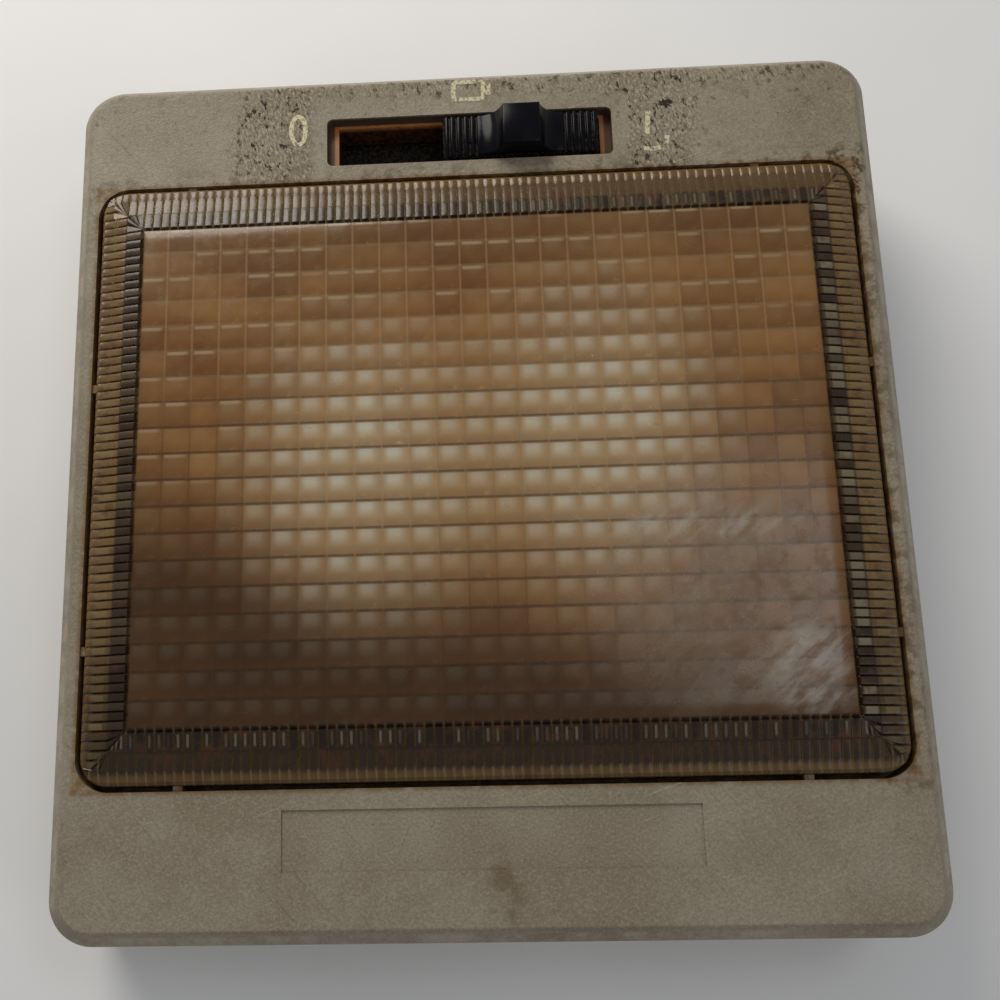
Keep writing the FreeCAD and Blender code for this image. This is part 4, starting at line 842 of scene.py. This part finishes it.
class LampSwitch(bpy.types.PropertyGroup):
    """Sizes of the slider's broken edges and the painted marks."""
    edge: bpy.props.FloatProperty(name="Edge", description="Bevel on the slider's edges", default=0.00018,
                                  unit="LENGTH", precision=5)
    stroke: bpy.props.FloatProperty(name="Stroke", description="Width of a painted line", default=0.0009,
                                    unit="LENGTH", precision=4)
    paint_height: bpy.props.FloatProperty(name="Paint", description="Thickness of the painted marks",
                                          default=0.00005, unit="LENGTH", precision=5)


class LampStage(bpy.types.PropertyGroup):
    """Strengths of the studio lights."""
    key_power: bpy.props.FloatProperty(name="Key", description="Power of the large light", default=1.85,
                                       subtype="POWER")
    glare_power: bpy.props.FloatProperty(name="Glare", description="Power of the small light over the lens",
                                         default=0.22, subtype="POWER")
    fill_power: bpy.props.FloatProperty(name="Fill", description="Power of the side light", default=0.6,
                                        subtype="POWER")
    sky: bpy.props.FloatProperty(name="Surround", description="Strength of the even surround", default=0.31)


# ---------------------------------------------------------------- operators

class LampBuild:
    """What the lamp's operators share."""
    bl_options = {"REGISTER", "UNDO"}


def dress(material, *nodes):
    """Gives CAD nodes a finish."""
    for name in nodes:
        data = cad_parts[name].data
        data.materials.clear()
        data.materials.append(material)


class LAMP_OT_housing(LampBuild, bpy.types.Operator):
    """Finish the housing"""
    bl_idname = "lamp.housing"
    bl_label = "Housing finish"

    def execute(self, context):
        dress(housing_finish(context.scene.lamp_look), "housing")
        return {"FINISHED"}


class LAMP_OT_lens(LampBuild, bpy.types.Operator):
    """Make the lens with its prisms and ribbed rim"""
    bl_idname = "lamp.lens"
    bl_label = "Lens"

    def execute(self, context):
        scene = context.scene
        made = lens_cover(scene.lamp_lens, lens_finish(scene.lamp_look))
        settled(made, "lens_body", ["lens"])
        return {"FINISHED"}


class LAMP_OT_inside(LampBuild, bpy.types.Operator):
    """Finish the reflector, switch frame, board and metal parts"""
    bl_idname = "lamp.inside"
    bl_label = "Inside finishes"

    def execute(self, context):
        dress(reflector_finish(), "reflector")
        dress(frame_finish(), "switch_frame")
        dress(laminate_finish(), "switch_board")
        bare = metal_finish("brass_bare", (0.72, 0.54, 0.25, 1), (0.3, 0.19, 0.08, 1), 0.26, 0.6)
        spring = metal_finish("bronze_spring", (0.72, 0.52, 0.3, 1), (0.34, 0.22, 0.12, 1), 0.22, 0.4)
        plated = metal_finish("brass_plated", (0.74, 0.72, 0.68, 1), (0.42, 0.38, 0.32, 1), 0.2, 0.4)
        zinc = metal_finish("steel_zinc", (0.62, 0.62, 0.6, 1), (0.34, 0.33, 0.3, 1), 0.3, 0.5)
        dress(bare, "supply_busbar", "lamp_busbar", "clip_rivets", "contact_rivets")
        clips = [f"bulb_clip_{row}_{side}" for row in ("upper", "lower") for side in ("left", "right")]
        dress(spring, "contact_bridge", "detent_spring", "lamp_contact", "door_contact", "ground_contact",
              *clips)
        dress(plated, "bulb_caps_left", "bulb_caps_right", "supply_terminal", "door_terminal",
              "ground_terminal")
        dress(zinc, "reflector_screws", "switch_screws")
        return {"FINISHED"}


class LAMP_OT_bulbs(LampBuild, bpy.types.Operator):
    """Make the bulbs' glass and coiled filaments"""
    bl_idname = "lamp.bulbs"
    bl_label = "Bulbs"

    def execute(self, context):
        sizes = context.scene.lamp_bulbs
        glass = glass_finish()
        wire = metal_finish("filament_tungsten", (0.42, 0.42, 0.43, 1), (0.2, 0.2, 0.22, 1), 0.4, 0.4)
        for side in ("left", "right"):
            low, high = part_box(f"bulb_glass_{side}")
            centre, radius, half = (low + high) / 2, (high.x - low.x) / 2, (high.y - low.y) / 2
            outer = bulb_outline(radius, half)
            inner = [(max(r - sizes.glass_wall, 0.0), y * (1 - sizes.glass_wall / half)) for r, y in outer]
            made = piece(f"bulb_tube_{side}", turned(outer + inner[::-1], centre), glass, 60.0)
            settled(made, "housing_body", [f"bulb_glass_{side}"])
            coil = filament(sizes, side, wire)
            settled(coil, "housing_body", [f"bulb_filament_{side}"])
        return {"FINISHED"}


def bulb_outline(radius, half, steps=8):
    """The glass's section as (radius, along) points, from one open neck to the other."""
    neck, straight = radius * NECK_SHARE, half * STRAIGHT_SHARE
    right = [(radius, straight)]
    for step in range(1, steps + 1):
        turn = math.pi / 2 * step / steps
        right.append((neck + (radius - neck) * math.cos(turn),
                      straight + (half - straight) * math.sin(turn)))
    return [(r, -y) for r, y in reversed(right)] + right


def filament(sizes, side, wire):
    """A helix of fine wire with straight ends, along the bulb."""
    low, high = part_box(f"bulb_filament_{side}")
    centre, length = (low + high) / 2, high.y - low.y
    g = Growth(f"filament_{side}", {
        "Turns": float(sizes.coil_turns), "Coil radius": sizes.coil_radius,
        "Wire radius": sizes.wire_radius, "Length": length * 0.8, "Lead": length * 0.1,
        "X": centre.x, "Y": centre.y, "Z": centre.z,
    }, wire)
    coil_radius = g.size("Coil radius")
    helix = g.node("GeometryNodeCurveSpiral", {}, {
        "Resolution": 14, "Rotations": g.size("Turns"), "Start Radius": coil_radius,
        "End Radius": coil_radius, "Height": g.size("Length")})
    round_wire = g.node("GeometryNodeCurvePrimitiveCircle", {}, {
        "Resolution": 6, "Radius": g.size("Wire radius")})
    coil = g.node("GeometryNodeCurveToMesh", {}, {
        "Curve": helix.outputs[0], "Profile Curve": round_wire.outputs[0], "Fill Caps": True})
    parts = [coil.outputs[0]]
    top_end = g.size("Length") + g.size("Lead")
    for low_end, high_end in ((g.size("Lead") * -1.0, 0.0), (g.size("Length"), top_end)):
        line = g.node("GeometryNodeCurvePrimitiveLine", {}, {
            "Start": g.vector(coil_radius, 0.0, low_end), "End": g.vector(coil_radius, 0.0, high_end)})
        lead = g.node("GeometryNodeCurveToMesh", {}, {
            "Curve": line.outputs[0], "Profile Curve": round_wire.outputs[0], "Fill Caps": True})
        parts.append(lead.outputs[0])
    laid = g.node("GeometryNodeTransform", {}, {
        "Geometry": g.joined(parts), "Rotation": (math.pi / 2, 0.0, 0.0),
        "Translation": g.vector(g.size("X"), g.size("Y") + g.size("Length") * 0.5, g.size("Z"))})
    made = g.grown(f"filament_coil_{side}", laid.outputs[0])
    smoothed(made, 60.0)
    return made


class LAMP_OT_switch(LampBuild, bpy.types.Operator):
    """Make the slider with broken edges"""
    bl_idname = "lamp.switch"
    bl_label = "Switch slider"

    def execute(self, context):
        black = slider_finish()
        made = softened("switch_slider", "slider_knob", black, context.scene.lamp_switch.edge)
        settled(made, "slider_body", ["switch_slider"])
        return {"FINISHED"}


class LAMP_OT_marks(LampBuild, bpy.types.Operator):
    """Paint the three position marks"""
    bl_idname = "lamp.marks"
    bl_label = "Switch marks"

    def execute(self, context):
        sizes = context.scene.lamp_switch
        low, high = FACE - 0.1 * MM, FACE + sizes.paint_height
        cream = mark_finish()
        shapes = {
            "mark_off": [(oval(-33.2, 70.6, 1.4, 3.1), True)],
            "mark_door": [(rounded_box(0.2, 77.7, 2.9, 1.9, 0.7), True),
                          (((4.0, 76.6), (4.1, 79.0)), False)],
            "mark_on": [(((33.4, 63.4), (35.2, 63.2), (36.6, 63.5)), False),
                        (((37.7, 64.2), (38.0, 66.0)), False),
                        (((34.2, 66.4), (34.6, 71.4)), False)],
        }
        for name, lines in shapes.items():
            bm = bmesh.new()
            for points, closed in lines:
                ribbon(bm, [(x * MM, y * MM) for x, y in points], sizes.stroke, low, high, closed)
            made = piece(name, bm, cream)
            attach(made, "housing_body")
        return {"FINISHED"}


def oval(x, y, wide, tall, count=28):
    """Points round an oval, by its centre and half sizes."""
    turns = [2 * math.pi * i / count for i in range(count)]
    return [(x + wide * math.cos(t), y + tall * math.sin(t)) for t in turns]


def rounded_box(x, y, wide, tall, radius):
    """Points round a box with rounded corners, by its centre and half sizes."""
    points = []
    for quarter, (sx, sy) in enumerate(((1, 1), (-1, 1), (-1, -1), (1, -1))):
        for step in range(5):
            t = math.pi / 2 * (quarter + step / 4)
            points.append((x + sx * (wide - radius) + radius * math.cos(t),
                           y + sy * (tall - radius) + radius * math.sin(t)))
    return points


class LAMP_OT_stage(LampBuild, bpy.types.Operator):
    """Set the floor, the lights and the camera"""
    bl_idname = "lamp.stage"
    bl_label = "Stage"

    def execute(self, context):
        sizes, scene = context.scene.lamp_stage, context.scene
        bm = bmesh.new()
        bmesh.ops.create_circle(bm, cap_ends=True, segments=96, radius=FLOOR_RADIUS)
        bmesh.ops.translate(bm, verts=bm.verts, vec=(0, 0, FLOOR_HEIGHT))
        piece("floor", bm, floor_finish())
        for name, (place, size, colour) in LIGHTS.items():
            add_light(f"{name}_light", place, size, getattr(sizes, f"{name}_power"), colour)
        scene.world = scene.world or bpy.data.worlds.new("surround")
        scene.world.use_nodes = True
        sky = scene.world.node_tree.nodes["Background"]
        sky.inputs["Color"].default_value = (0.97, 0.98, 1.0, 1.0)
        sky.inputs["Strength"].default_value = sizes.sky
        scene.view_settings.view_transform = "Standard"
        add_camera(scene)
        return {"FINISHED"}


def add_light(name, place, size, power, colour):
    data = bpy.data.lights.new(name, "AREA")
    data.shape, data.size, data.energy, data.color = "DISK", size, power, colour
    made = linked_object(name, data)
    made.location = place
    made.rotation_euler = (Vector(LIGHT_AIM) - Vector(place)).to_track_quat("-Z", "Y").to_euler()


def add_camera(scene):
    data = bpy.data.cameras.new("camera")
    data.lens, data.sensor_width = CAMERA_LENS, 36.0
    data.shift_x, data.shift_y = CAMERA_SHIFT
    data.clip_start = 0.01
    made = linked_object("camera", data)
    made.location = CAMERA_PLACE
    made.rotation_euler = [math.radians(angle) for angle in CAMERA_TURN]
    scene.camera = made


class LAMP_PT_panel(bpy.types.Panel):
    """Buttons for each group of pieces"""
    bl_idname = "LAMP_PT_panel"
    bl_label = "Interior lamp"
    bl_space_type = "VIEW_3D"
    bl_region_type = "UI"
    bl_category = "Lamp"

    def draw(self, context):
        for operator in OPERATORS:
            self.layout.operator(operator.bl_idname)


OPERATORS = (LAMP_OT_stage, LAMP_OT_housing, LAMP_OT_lens, LAMP_OT_inside, LAMP_OT_bulbs, LAMP_OT_switch,
             LAMP_OT_marks)
GROUPS = {"lamp_lens": LampLens, "lamp_look": LampLook, "lamp_bulbs": LampBulbs, "lamp_switch": LampSwitch,
          "lamp_stage": LampStage}


def register():
    for cls in (*GROUPS.values(), *OPERATORS, LAMP_PT_panel):
        bpy.utils.register_class(cls)
    for name, group in GROUPS.items():
        setattr(bpy.types.Scene, name, bpy.props.PointerProperty(type=group))


def unregister():
    for name in GROUPS:
        delattr(bpy.types.Scene, name)
    for cls in reversed((*GROUPS.values(), *OPERATORS, LAMP_PT_panel)):
        bpy.utils.unregister_class(cls)


def main():
    register()
    for operator in OPERATORS:
        group, name = operator.bl_idname.split(".")
        getattr(getattr(bpy.ops, group), name)()


if __name__ == "__main__":
    main()
